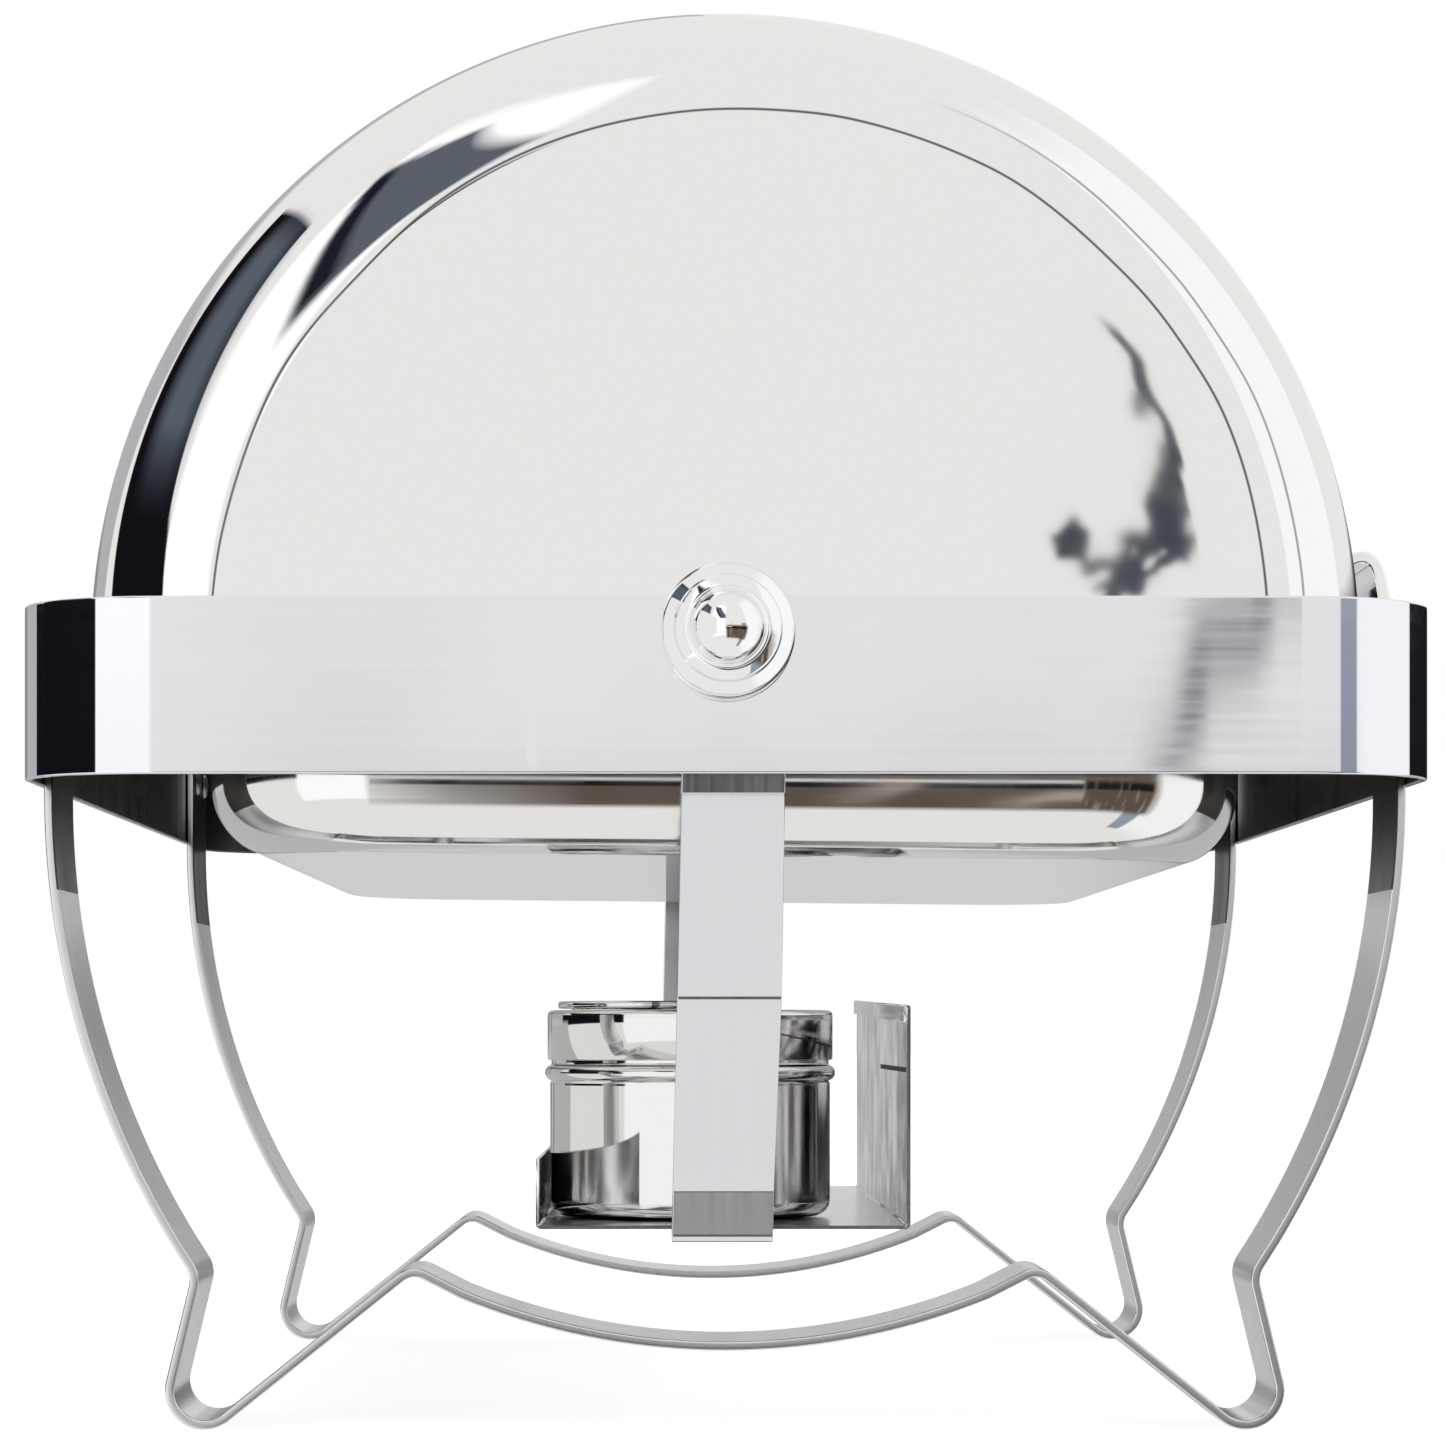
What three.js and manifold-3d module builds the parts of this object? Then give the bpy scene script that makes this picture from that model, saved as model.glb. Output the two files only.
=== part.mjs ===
// Roll top chafer: a half-cylinder lid that rolls back about a long pivot axis, over a band frame on
// two bent-strip leg frames, with a water pan, a food pan and a burner tray with two fuel cups.
// Millimetres. X runs across (the handle is at +X), Y along, Z up; the feet stand on Z = 0.
// "near" pieces are at the -Y end and "far" pieces at the +Y end.
import * as THREE from 'three';
import { mergeVertices } from 'three/addons/utils/BufferGeometryUtils.js';
import Module from 'manifold-3d';

const DEG = Math.PI / 180;
const GAP = 0.3;
// The band's middle lies this far behind the middle of the whole, because the handle stands out in front.
const BAND_MIDDLE_X = -8.35;

const BAND = { halfX: 223, halfY: 310, corner: 46, sheet: 2.5, z0: 208.3, z1: 263.3 };
const PIVOT_Z = 252;
const CARRIER = { halfX: 190, halfY: 286.2, corner: 44, sheet: 2, z0: 232, z1: 260 };

const DOME = { radius: 204.5, sheet: 1.2, halfY: 291, edgeY: 289.5, fillet: 45, earRadius: 22 };
const DOME_FLAT_RADIUS = 60;

const LEG = { sheet: 3, width: 50, nearY: -218.4, topX: 218.7, topZ: 250, bendZ: 206 };
const LEG_ARC = { centreX: -60.2, radius: 278.9, endDegrees: 32.4 };
const LEG_KINK = { x: 171, z: 50, rounding: 9 };
const FOOT = { x: 168.4, radius: 11.2, flatDegrees: 10, outDegrees: 13, inDegrees: 39 };
const LEG_PEAK = { x: 101.3, z: 52.0, rounding: 7 };
const SAG_RADIUS = 225;
const LEG_RIVET = { z: 234, offsetY: 14, shank: 2.5, head: 5, headHeight: 1.6 };

const HANGER = { width: 32.4, sheet: 1.5, topZ: 262, wallY: 306.45, legZ: 61.95, endY: 172, rounding: 2 };
// A hanger's bends as distance along Y and height, from behind the band down to the leg under the tray.
const HANGER_BENDS = [[306.45, 238], [297.6, 216], [296.4, 203], [308, 139], [259, 78], [259, 61.95]];
// The burner carriage hangs a little askew: the strips' middles at pivot height, and their lean to the rear.
const HANGER_MIDDLE_X = { near: 2.9, far: -2 };
const HANGER_LEAN = 0.0207;
const ENDS = [['near', -1], ['far', 1]];
const TRAY = { halfX: 62.4, halfY: 200, sheet: 1.2, floorZ: 63, rearZ: 86.5, frontZ: 140, hem: 5.7 };
const TRAY_FRONT_SLOPE = 2.35 / 200;
const TRAY_SLOT = { y0: -194, y1: -14, z: 115.2, height: 1.6 };
const TRAY_RIVET = { y: 186, x: 9, shank: 2, head: 4 };

const WATER_PAN = {
  sheet: 0.9,
  floor: { halfX: 148, halfY: 251, corner: 38, z: 183.5 },
  wall: { lowX: 168.8, lowY: 272, corner: 56, bend: 25, topX: 171, topY: 274.5 },
  rim: { halfX: 191.5, halfY: 286.2, corner: 46, z: 260.3 },
};
const FOOD_PAN = {
  sheet: 0.8,
  floor: { halfX: 138, halfY: 239, corner: 30, z: 197.5 },
  wall: { lowX: 150, lowY: 251, corner: 42, bend: 15, topX: 154, topY: 255 },
  rim: { halfX: 176, halfY: 277, corner: 40, z: 261.8 },
};

const CUP = { x: -10.6, y: 118, baseZ: 64.5, body: 49.1, bead: 50.9, beadZ: 114.5, neck: 48.7, sheet: 0.8 };
const CUP_LID = { radius: 50, z0: 118.9, z1: 136.4, hole: 28.5, sheet: 0.8 };
const SNUFFER = { radius: 32, ear: 6, pivotY: 40, swing: 21, z0: 136.9, z1: 139.5 };

const BOLT = { radius: 4, hole: 4.3 };

const HANDLE = { halfY: 90, sheet: 4.6, postY: 60, postRadius: 5.5, angle: 7.5 };

const SATIN = { color: 0xc9cacd, roughness: 0.32, metalness: 1 };
const MIRROR = { color: 0xe2e3e5, roughness: 0.08, metalness: 1 };
const CHROME = { color: 0xe6e7ea, roughness: 0.05, metalness: 1 };
const POLISHED_CUP = { color: 0xb9b6b3, roughness: 0.07, metalness: 1 };
const ZINC = { color: 0xa8aaad, roughness: 0.45, metalness: 1 };
const RUBBER = { color: 0x1c1c1d, roughness: 0.75, metalness: 0 };

const wasm = await Module();
wasm.setup();

function toSolid(geometry) {
  const bare = geometry.clone();
  bare.deleteAttribute('normal');
  bare.deleteAttribute('uv');
  const welded = mergeVertices(bare, 1e-4);
  return new wasm.Manifold(new wasm.Mesh({
    numProp: 3,
    vertProperties: new Float32Array(welded.attributes.position.array),
    triVerts: new Uint32Array(welded.index.array),
  }));
}

function toGeometry(solid) {
  const mesh = solid.getMesh();
  const geometry = new THREE.BufferGeometry();
  geometry.setAttribute('position', new THREE.BufferAttribute(mesh.vertProperties, 3));
  geometry.setIndex(new THREE.BufferAttribute(mesh.triVerts, 1));
  return flatShaded(geometry);
}

function flatShaded(geometry) {
  const flat = geometry.index ? geometry.toNonIndexed() : geometry;
  flat.computeVertexNormals();
  return flat;
}

function cut(geometry, ...tools) {
  let solid = toSolid(geometry);
  for (const tool of tools) solid = solid.subtract(toSolid(tool));
  return toGeometry(solid);
}

// A profile drawn in X and Z, run along Y.
function extrudeAlongY(profile, y0, y1) {
  const shape = new THREE.Shape(profile.map(([x, z]) => new THREE.Vector2(x, z)));
  const geometry = new THREE.ExtrudeGeometry(shape, { depth: y1 - y0, bevelEnabled: false });
  geometry.rotateX(90 * DEG);
  return geometry.translate(0, y1, 0);
}

// A profile drawn in Y and Z, run along X about X = 0.
function extrudeAlongX(profile, width) {
  const shape = new THREE.Shape(profile.map(([y, z]) => new THREE.Vector2(y, z)));
  const geometry = new THREE.ExtrudeGeometry(shape, { depth: width, bevelEnabled: false });
  const axes = new THREE.Matrix4().makeBasis(
    new THREE.Vector3(0, 1, 0), new THREE.Vector3(0, 0, 1), new THREE.Vector3(1, 0, 0));
  geometry.applyMatrix4(axes);
  return geometry.translate(-width / 2, 0, 0);
}

function box(x0, x1, y0, y1, z0, z1) {
  const geometry = new THREE.BoxGeometry(x1 - x0, y1 - y0, z1 - z0);
  return geometry.translate((x0 + x1) / 2, (y0 + y1) / 2, (z0 + z1) / 2);
}

function rodAlongY(radius, y0, y1, x, z, sides = 20) {
  const geometry = new THREE.CylinderGeometry(radius, radius, y1 - y0, sides);
  return geometry.translate(x, (y0 + y1) / 2, z);
}

function rodAlongX(radius, x0, x1, y, z, sides = 16) {
  const geometry = new THREE.CylinderGeometry(radius, radius, x1 - x0, sides);
  geometry.rotateZ(-90 * DEG);
  return geometry.translate((x0 + x1) / 2, y, z);
}

function rodAlongZ(radius, z0, z1, x, y, sides = 16) {
  const geometry = new THREE.CylinderGeometry(radius, radius, z1 - z0, sides);
  geometry.rotateX(90 * DEG);
  return geometry.translate(x, y, (z0 + z1) / 2);
}

// A solid of revolution about the Y axis, from [radius, height] pairs that run with rising height outside.
function turned(profile, sides) {
  return new THREE.LatheGeometry(profile.map(([r, h]) => new THREE.Vector2(r, h)), sides);
}

function turnedUpright(profile, sides) {
  return turned(profile, sides).rotateX(90 * DEG);
}

// One loop of a rounded rectangle, counter-clockwise seen from above.
function roundedLoop(halfX, halfY, corner, z, steps = 6) {
  const loop = [];
  const quarters = [[1, 1, 0], [-1, 1, 90], [-1, -1, 180], [1, -1, 270]];
  for (const [sideX, sideY, start] of quarters) {
    for (let i = 0; i <= steps; i++) {
      const angle = (start + (90 * i) / steps) * DEG;
      loop.push([
        sideX * (halfX - corner) + corner * Math.cos(angle),
        sideY * (halfY - corner) + corner * Math.sin(angle),
        z,
      ]);
    }
  }
  return loop;
}

// A skin over loops of equal length: closed on itself, or capped by a flat fan at each end.
function loft(loops, closedOnItself) {
  const count = loops[0].length;
  const positions = loops.flat(2);
  const indices = [];
  const last = closedOnItself ? loops.length : loops.length - 1;
  for (let k = 0; k < last; k++) {
    const a = k * count;
    const b = ((k + 1) % loops.length) * count;
    for (let i = 0; i < count; i++) {
      const j = (i + 1) % count;
      indices.push(a + i, a + j, b + j, a + i, b + j, b + i);
    }
  }
  if (!closedOnItself) {
    const first = positions.length / 3;
    positions.push(0, 0, loops[0][0][2], 0, 0, loops[loops.length - 1][0][2]);
    const end = (loops.length - 1) * count;
    for (let i = 0; i < count; i++) {
      const j = (i + 1) % count;
      indices.push(first, j, i, first + 1, end + i, end + j);
    }
  }
  const geometry = new THREE.BufferGeometry();
  geometry.setAttribute('position', new THREE.Float32BufferAttribute(positions, 3));
  geometry.setIndex(indices);
  return flatShaded(geometry);
}

function ring({ halfX, halfY, corner, sheet, z0, z1 }) {
  const inner = [halfX - sheet, halfY - sheet, corner - sheet];
  return loft([
    roundedLoop(halfX, halfY, corner, z0),
    roundedLoop(halfX, halfY, corner, z1),
    roundedLoop(...inner, z1),
    roundedLoop(...inner, z0),
  ], true);
}

// The outline of a strip of constant thickness that follows a path.
function stripOutline(path, sheet) {
  const left = [];
  const right = [];
  for (let i = 0; i < path.length; i++) {
    const before = path[Math.max(i - 1, 0)];
    const after = path[Math.min(i + 1, path.length - 1)];
    const here = path[i];
    const inward = unit(here, i === 0 ? after : before).map((v) => (i === 0 ? v : -v));
    const outward = i === path.length - 1 ? inward : unit(here, after);
    const sum = [inward[0] + outward[0], inward[1] + outward[1]];
    const length = Math.hypot(...sum);
    const normal = [-sum[1] / length, sum[0] / length];
    const reach = sheet / 2 / (length / 2);
    left.push([here[0] + normal[0] * reach, here[1] + normal[1] * reach]);
    right.push([here[0] - normal[0] * reach, here[1] - normal[1] * reach]);
  }
  return [...right, ...left.reverse()];
}

function unit(from, to) {
  const length = Math.hypot(to[0] - from[0], to[1] - from[1]);
  return [(to[0] - from[0]) / length, (to[1] - from[1]) / length];
}

function arcPoints(cx, cz, radius, from, to, steps) {
  const points = [];
  for (let i = 0; i <= steps; i++) {
    const angle = (from + ((to - from) * i) / steps) * DEG;
    points.push([cx + radius * Math.cos(angle), cz + radius * Math.sin(angle)]);
  }
  return points;
}

// A corner between two straight runs, replaced by an arc of the given radius.
function roundedCorner(before, corner, after, radius, steps) {
  const a = unit(corner, before);
  const b = unit(corner, after);
  const half = Math.acos(a[0] * b[0] + a[1] * b[1]) / 2;
  const reach = radius / Math.tan(half);
  const middle = [a[0] + b[0], a[1] + b[1]];
  const length = Math.hypot(...middle);
  const out = radius / Math.sin(half);
  const centre = [corner[0] + (middle[0] / length) * out, corner[1] + (middle[1] / length) * out];
  const start = [corner[0] + a[0] * reach, corner[1] + a[1] * reach];
  const end = [corner[0] + b[0] * reach, corner[1] + b[1] * reach];
  const from = Math.atan2(start[1] - centre[1], start[0] - centre[0]);
  let turn = Math.atan2(end[1] - centre[1], end[0] - centre[0]) - from;
  turn = Math.atan2(Math.sin(turn), Math.cos(turn));
  return arcPoints(centre[0], centre[1], radius, from / DEG, (from + turn) / DEG, steps);
}

// Half of a leg frame's centre line, from the top of the +X leg to the middle of the sagging stretcher.
function halfLegPath() {
  const footZ = FOOT.radius * Math.cos(FOOT.flatDegrees * DEG) + LEG.sheet / 2;
  const upper = arcPoints(LEG_ARC.centreX, LEG.bendZ, LEG_ARC.radius, 0, -LEG_ARC.endDegrees, 9);
  const footStart = arcPoints(FOOT.x, footZ, FOOT.radius, FOOT.outDegrees, FOOT.outDegrees, 1)[0];
  const flat = [-90 + FOOT.flatDegrees, -90 - FOOT.flatDegrees];
  const foot = [
    ...arcPoints(FOOT.x, footZ, FOOT.radius, FOOT.outDegrees, flat[0], 5),
    ...arcPoints(FOOT.x, footZ, FOOT.radius, flat[1], -90 - FOOT.inDegrees, 2),
  ];
  const kink = roundedCorner(upper[upper.length - 1], [LEG_KINK.x, LEG_KINK.z], footStart,
    LEG_KINK.rounding, 4);
  const sagAt = (x) => PIVOT_Z - Math.sqrt(SAG_RADIUS ** 2 - x ** 2);
  const peak = roundedCorner(foot[foot.length - 1], [LEG_PEAK.x, LEG_PEAK.z], [85, sagAt(85)],
    LEG_PEAK.rounding, 4);
  const sag = [];
  for (const x of [85, 68, 51, 34, 17, 0]) sag.push([x, sagAt(x)]);
  return [[LEG.topX, LEG.topZ], ...upper.slice(0, -1), ...kink, ...foot, ...peak, ...sag];
}

function legFrame(middleY) {
  const half = halfLegPath();
  const mirrored = half.slice(0, -1).map(([x, z]) => [-x, z]).reverse();
  const outline = stripOutline([...half, ...mirrored], LEG.sheet);
  const strip = extrudeAlongY(outline, middleY - LEG.width / 2, middleY + LEG.width / 2);
  const holes = [];
  for (const offset of [-LEG_RIVET.offsetY, LEG_RIVET.offsetY]) {
    holes.push(rodAlongX(LEG_RIVET.shank + GAP, -230, 230, middleY + offset, LEG_RIVET.z, 12));
  }
  return cut(strip, ...holes);
}

// A rivet with its shank along +Y from the head's underside at 0.
function rivetShape(shank, head, headHeight, length) {
  return turned([[0, -headHeight], [head * 0.75, -headHeight], [head, -headHeight * 0.35], [head, 0],
    [shank, 0], [shank, length], [0, length]], 8);
}

// A leg's rivet: its head inside the strip, its shank flush with the outside of the band.
function legRivet(side, y) {
  const headFace = LEG.topX - LEG.sheet / 2 - GAP;
  const rivet = rivetShape(LEG_RIVET.shank, LEG_RIVET.head, LEG_RIVET.headHeight,
    BAND.halfX - GAP - headFace);
  rivet.rotateZ(side > 0 ? -90 * DEG : 90 * DEG);
  return rivet.translate(side * headFace, y, LEG_RIVET.z);
}

const BRACKET = { y: 90, halfY: 11, z0: 234, z1: 248, sheet: 2, bumperX: 204 };
const BRACKET_X = [CARRIER.halfX + GAP, BAND.halfX - BAND.sheet - GAP];
const BRACKET_RIVET = { z: 242.5, shank: 2, head: 4, headHeight: 1.4, offsetY: 0 };

function frameBand() {
  const tools = [rodAlongY(BOLT.hole, -320, 320, 0, PIVOT_Z)];
  for (const y of legRivetRows()) {
    tools.push(rodAlongX(LEG_RIVET.shank + GAP, -230, 230, y, LEG_RIVET.z, 12));
  }
  for (const y of [-BRACKET.y, BRACKET.y]) {
    tools.push(rodAlongX(BRACKET_RIVET.shank + GAP, 210, 230, y, BRACKET_RIVET.z, 12));
  }
  return cut(ring(BAND), ...tools);
}

function legRivetRows() {
  const rows = [];
  for (const middle of [LEG.nearY, -LEG.nearY]) {
    rows.push(middle - LEG_RIVET.offsetY, middle + LEG_RIVET.offsetY);
  }
  return rows;
}

function panCarrier() {
  const tools = [rodAlongY(BOLT.hole, -300, 300, 0, PIVOT_Z)];
  for (const y of [-BRACKET.y, BRACKET.y]) {
    tools.push(rodAlongX(BRACKET_RIVET.shank + GAP, 180, 200, y, BRACKET_RIVET.z, 12));
  }
  return cut(ring(CARRIER), ...tools);
}

// A channel, open upwards, between the carrier's front wall and the band.
function carrierBracket(y) {
  const [x0, x1] = BRACKET_X;
  const { z0, z1, sheet } = BRACKET;
  const channel = extrudeAlongY([[x0, z0], [x1, z0], [x1, z1], [x1 - sheet, z1], [x1 - sheet, z0 + sheet],
    [x0 + sheet, z0 + sheet], [x0 + sheet, z1], [x0, z1]], y - BRACKET.halfY, y + BRACKET.halfY);
  return cut(channel,
    rodAlongX(BRACKET_RIVET.shank + GAP, 180, 230, y, BRACKET_RIVET.z, 12),
    rodAlongZ(2.8, 230, 240, BRACKET.bumperX, y, 12));
}

// A push-in rubber bumper: button, neck through the bracket's floor, and retaining bulb below it.
function lidBumper(y) {
  const neckTop = BRACKET.z0 + BRACKET.sheet + GAP;
  const neckBottom = BRACKET.z0 - GAP;
  const bumper = turnedUpright([[0, neckBottom - 3.2], [2, neckBottom - 3.2], [3.6, neckBottom],
    [2.4, neckBottom], [2.4, neckTop], [5, neckTop], [5, PIVOT_Z - 1.4], [4, PIVOT_Z - GAP],
    [0, PIVOT_Z - GAP]], 10);
  return bumper.translate(BRACKET.bumperX, y, 0);
}

function carrierRivet(y) {
  const headFace = CARRIER.halfX - CARRIER.sheet - GAP;
  const rivet = rivetShape(BRACKET_RIVET.shank, BRACKET_RIVET.head, BRACKET_RIVET.headHeight, 6.2);
  return rivet.rotateZ(-90 * DEG).translate(headFace, y, BRACKET_RIVET.z);
}

function bandRivet(y) {
  const headFace = BRACKET_X[1] - BRACKET.sheet - GAP;
  const rivet = rivetShape(BRACKET_RIVET.shank, BRACKET_RIVET.head, BRACKET_RIVET.headHeight,
    BAND.halfX - GAP - headFace);
  return rivet.rotateZ(-90 * DEG).translate(headFace, y, BRACKET_RIVET.z);
}

function hangerMiddleX(end, z) {
  return HANGER_MIDDLE_X[end] - (PIVOT_Z - z) * HANGER_LEAN;
}

function trayRivetsX(end) {
  const middle = hangerMiddleX(end, HANGER.legZ);
  return { front: middle + TRAY_RIVET.x, rear: middle - TRAY_RIVET.x };
}

// A hanger strip: inwards behind the band, bellied out below it, then slanting in and under the tray.
function hanger(end, sign) {
  const corners = [[HANGER.wallY, HANGER.topZ], ...HANGER_BENDS, [HANGER.endY, HANGER.legZ]];
  const path = [corners[0]];
  for (let i = 1; i < corners.length - 1; i++) {
    path.push(...roundedCorner(corners[i - 1], corners[i], corners[i + 1], HANGER.rounding, 2));
  }
  path.push(corners[corners.length - 1]);
  const strip = extrudeAlongX(stripOutline(path, HANGER.sheet), HANGER.width);
  if (sign < 0) strip.rotateZ(180 * DEG);
  const position = strip.attributes.position;
  for (let i = 0; i < position.count; i++) {
    position.setX(i, position.getX(i) + hangerMiddleX(end, position.getZ(i)));
  }
  const holes = [rodAlongY(BOLT.hole, sign * HANGER.wallY - 6, sign * HANGER.wallY + 6, 0, PIVOT_Z)];
  for (const x of Object.values(trayRivetsX(end))) {
    holes.push(rodAlongZ(TRAY_RIVET.shank + GAP, 55, 68, x, sign * TRAY_RIVET.y, 12));
  }
  return cut(strip, ...holes);
}

function burnerTray() {
  const { halfX, halfY, sheet, floorZ, rearZ, frontZ, hem } = TRAY;
  const tray = extrudeAlongY([[-halfX, floorZ], [halfX, floorZ], [halfX, frontZ], [halfX - 2 * sheet, frontZ],
    [halfX - 2 * sheet, frontZ - hem], [halfX - sheet, frontZ - hem], [halfX - sheet, floorZ + sheet],
    [-halfX + sheet, floorZ + sheet], [-halfX + sheet, rearZ], [-halfX, rearZ]], -halfY, halfY);
  const position = tray.attributes.position;
  for (let i = 0; i < position.count; i++) {
    if (position.getZ(i) < frontZ - hem - 1) continue;
    position.setZ(i, position.getZ(i) + position.getY(i) * TRAY_FRONT_SLOPE);
  }
  const tools = [box(halfX - 6, halfX + 6, TRAY_SLOT.y0, TRAY_SLOT.y1, TRAY_SLOT.z,
    TRAY_SLOT.z + TRAY_SLOT.height)];
  for (const [end, sign] of ENDS) {
    for (const x of Object.values(trayRivetsX(end))) {
      tools.push(rodAlongZ(TRAY_RIVET.shank + GAP, 55, 68, x, sign * TRAY_RIVET.y, 12));
    }
  }
  return cut(tray, ...tools);
}

function trayRivet(x, y) {
  const top = TRAY.floorZ + TRAY.sheet + GAP;
  const bottom = HANGER.legZ - HANGER.sheet / 2 - GAP;
  const { shank, head } = TRAY_RIVET;
  return turnedUpright([[0, bottom - 1.2], [head * 0.6, bottom - 1.2], [head * 0.85, bottom],
    [shank, bottom], [shank, top], [head, top], [head * 0.7, top + 1.3], [0, top + 1.3]], 8)
    .translate(x, y, 0);
}

// Pieces on a pivot bolt, for the far end; distances are along the pivot axis from the middle.
function pivotBolt() {
  return turned([[0, 277.4], [BOLT.radius, 277.4], [BOLT.radius, 324], [0, 324]], 12);
}

function pivotNut() {
  const nut = new THREE.CylinderGeometry(7.2, 7.2, 5.4, 6).translate(0, 281.2, 0);
  return cut(nut, rodAlongY(BOLT.hole, 270, 290, 0, 0));
}

function pivotSleeve(radius, y0, y1, sides = 16) {
  return turned([[BOLT.hole, y0], [radius, y0], [radius, y1], [BOLT.hole, y1], [BOLT.hole, y0]], sides);
}

function pivotCollar() {
  return turned([[BOLT.hole, 310.3], [19.6, 310.3], [20.4, 311.2], [20.4, 314.4], [19.4, 315.6],
    [BOLT.hole, 315.6], [BOLT.hole, 310.3]], 24);
}

// The stepped ball knob: rounded disc, step and ball in one turned piece with a blind bore.
function pivotKnob() {
  const disc = [[18.2, 315.9], [20.2, 316.6], [20.9, 318.6], [20.6, 320.6], [19.3, 322.7], [17.4, 324.2],
    [16.4, 324.8], [16, 326.2], [15, 327.6], [13.2, 328.3], [11.7, 328.5]];
  const ball = arcPoints(0, 327.8, 11.7, 4, 90, 5).slice(0, -1);
  return turned([[0, 325], [BOLT.hole, 325], [BOLT.hole, 315.9], ...disc, ...ball, [0, 339.5]], 24);
}

function onPivot(geometry, near) {
  if (near) geometry.rotateX(180 * DEG);
  return geometry.translate(0, 0, PIVOT_Z);
}

// The lid's section as [radius, Y] about the pivot axis, drawn in by the given amount.
function domeProfile(inset) {
  const { radius, halfY, edgeY, fillet } = DOME;
  const endRadius = radius - fillet;
  const quarter = [];
  for (const [r, y] of arcPoints(endRadius, edgeY - fillet, fillet - inset, 90, 0, 5)) quarter.push([r, y]);
  const far = [[0, halfY - inset], [DOME_FLAT_RADIUS, halfY - inset], ...quarter];
  const near = far.map(([r, y]) => [r, -y]);
  return [...near, ...far.reverse()];
}

function domeCover() {
  const outer = turned(domeProfile(0), 60).translate(0, 0, PIVOT_Z);
  const inner = turned(domeProfile(DOME.sheet), 60).translate(0, 0, PIVOT_Z);
  const lowerHalf = box(-260, 260, -340, 340, -20, PIVOT_Z);
  let solid = toSolid(outer).subtract(toSolid(inner)).subtract(toSolid(lowerHalf));
  for (const y of [-DOME.halfY, DOME.halfY - DOME.sheet]) {
    solid = solid.add(toSolid(rodAlongY(DOME.earRadius, y, y + DOME.sheet, 0, PIVOT_Z, 28)));
  }
  solid = solid.subtract(toSolid(rodAlongY(BOLT.hole, -320, 320, 0, PIVOT_Z)));
  for (const y of [-HANDLE.postY, HANDLE.postY]) {
    solid = solid.subtract(toSolid(alongHandle(2.8, 195, 212, y)));
  }
  return toGeometry(solid);
}

// A rod that points from the pivot axis through a handle post, between two radii.
function alongHandle(radius, r0, r1, y, sides = 16) {
  return placedOnHandle(new THREE.CylinderGeometry(radius, radius, r1 - r0, sides)
    .translate(0, (r0 + r1) / 2, 0), y);
}

function placedOnHandle(geometry, y) {
  geometry.rotateZ(-90 * DEG);
  geometry.rotateY(-HANDLE.angle * DEG);
  return geometry.translate(0, y, PIVOT_Z);
}

const HANDLE_PATH = [[219.3, 270], [218.1, 281], [218.5, 287], [221, 292.6], [224.8, 296.6], [229.6, 298.2],
  [233.4, 296.6], [235.6, 292.4], [236.8, 287], [237.4, 281], [237.2, 268]];

function handleGrip() {
  const grip = extrudeAlongY(stripOutline(HANDLE_PATH, HANDLE.sheet), -HANDLE.halfY, HANDLE.halfY);
  const bores = [-HANDLE.postY, HANDLE.postY].map((y) => alongHandle(2.8, 210, 219.6, y, 12));
  return cut(grip, ...bores);
}

function handlePost(y) {
  const post = turned([[2.8, 204.9], [HANDLE.postRadius, 204.9], [HANDLE.postRadius, 216.9],
    [2.8, 216.9], [2.8, 204.9]], 12);
  return placedOnHandle(post, y);
}

function handleScrew(y) {
  return placedOnHandle(turned([[0, 200.4], [3.6, 200.4], [5, 201.6], [5, 202.8], [2.5, 202.8],
    [2.5, 219.2], [0, 219.2]], 10), y);
}

// Loops up a pan's bend and wall, drawn in by `inset` on the pan's inner side.
function panWall({ floor, wall }, inset, topZ) {
  const loops = [];
  for (const turn of [0, 30, 60, 90]) {
    const out = Math.sin(turn * DEG);
    const up = 1 - Math.cos(turn * DEG);
    loops.push(roundedLoop(
      floor.halfX + (wall.lowX - floor.halfX) * out - inset,
      floor.halfY + (wall.lowY - floor.halfY) * out - inset,
      floor.corner + (wall.corner - floor.corner) * out - inset,
      floor.z + inset + (wall.bend - inset) * up));
  }
  loops.push(roundedLoop(wall.topX - inset, wall.topY - inset, wall.corner - inset, topZ));
  return loops;
}

// A drawn pan: from the outside of the floor, over the rim, to the inside of the floor.
function pan(size) {
  const { sheet, rim } = size;
  return loft([
    ...panWall(size, 0, rim.z),
    roundedLoop(rim.halfX, rim.halfY, rim.corner, rim.z),
    roundedLoop(rim.halfX, rim.halfY, rim.corner, rim.z + sheet),
    ...panWall(size, sheet, rim.z + sheet).reverse(),
  ], false);
}

// A deep-drawn fuel cup with a bead near its top, under the neck that takes the ring lid.
function fuelCup() {
  const { baseZ: z, body, bead, beadZ, neck, sheet } = CUP;
  const inner = neck - sheet;
  return turnedUpright([[0, z], [body - 6, z], [body - 2, z + 1.7], [body, z + 6], [body, beadZ - 3.4],
    [bead - 0.4, beadZ - 1.8], [bead, beadZ], [bead - 0.4, beadZ + 1.8], [neck, beadZ + 3.4], [neck, 134],
    [inner, 134], [inner, z + 6], [body - 3, z + 2.4], [body - 6.5, z + sheet], [0, z + sheet]], 28);
}

function fuelLid(pivotX, pivotY) {
  const { radius, z0, z1, hole, sheet } = CUP_LID;
  const lid = turnedUpright([[radius, z0], [radius, z1 - 1.6], [radius - 1.6, z1], [hole, z1],
    [hole, z1 - sheet], [radius - 1.8, z1 - sheet], [radius - sheet, z1 - 1.8], [radius - sheet, z0],
    [radius, z0]], 28);
  return cut(lid, rodAlongZ(2.3, 120, 145, pivotX, pivotY, 12));
}

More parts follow.
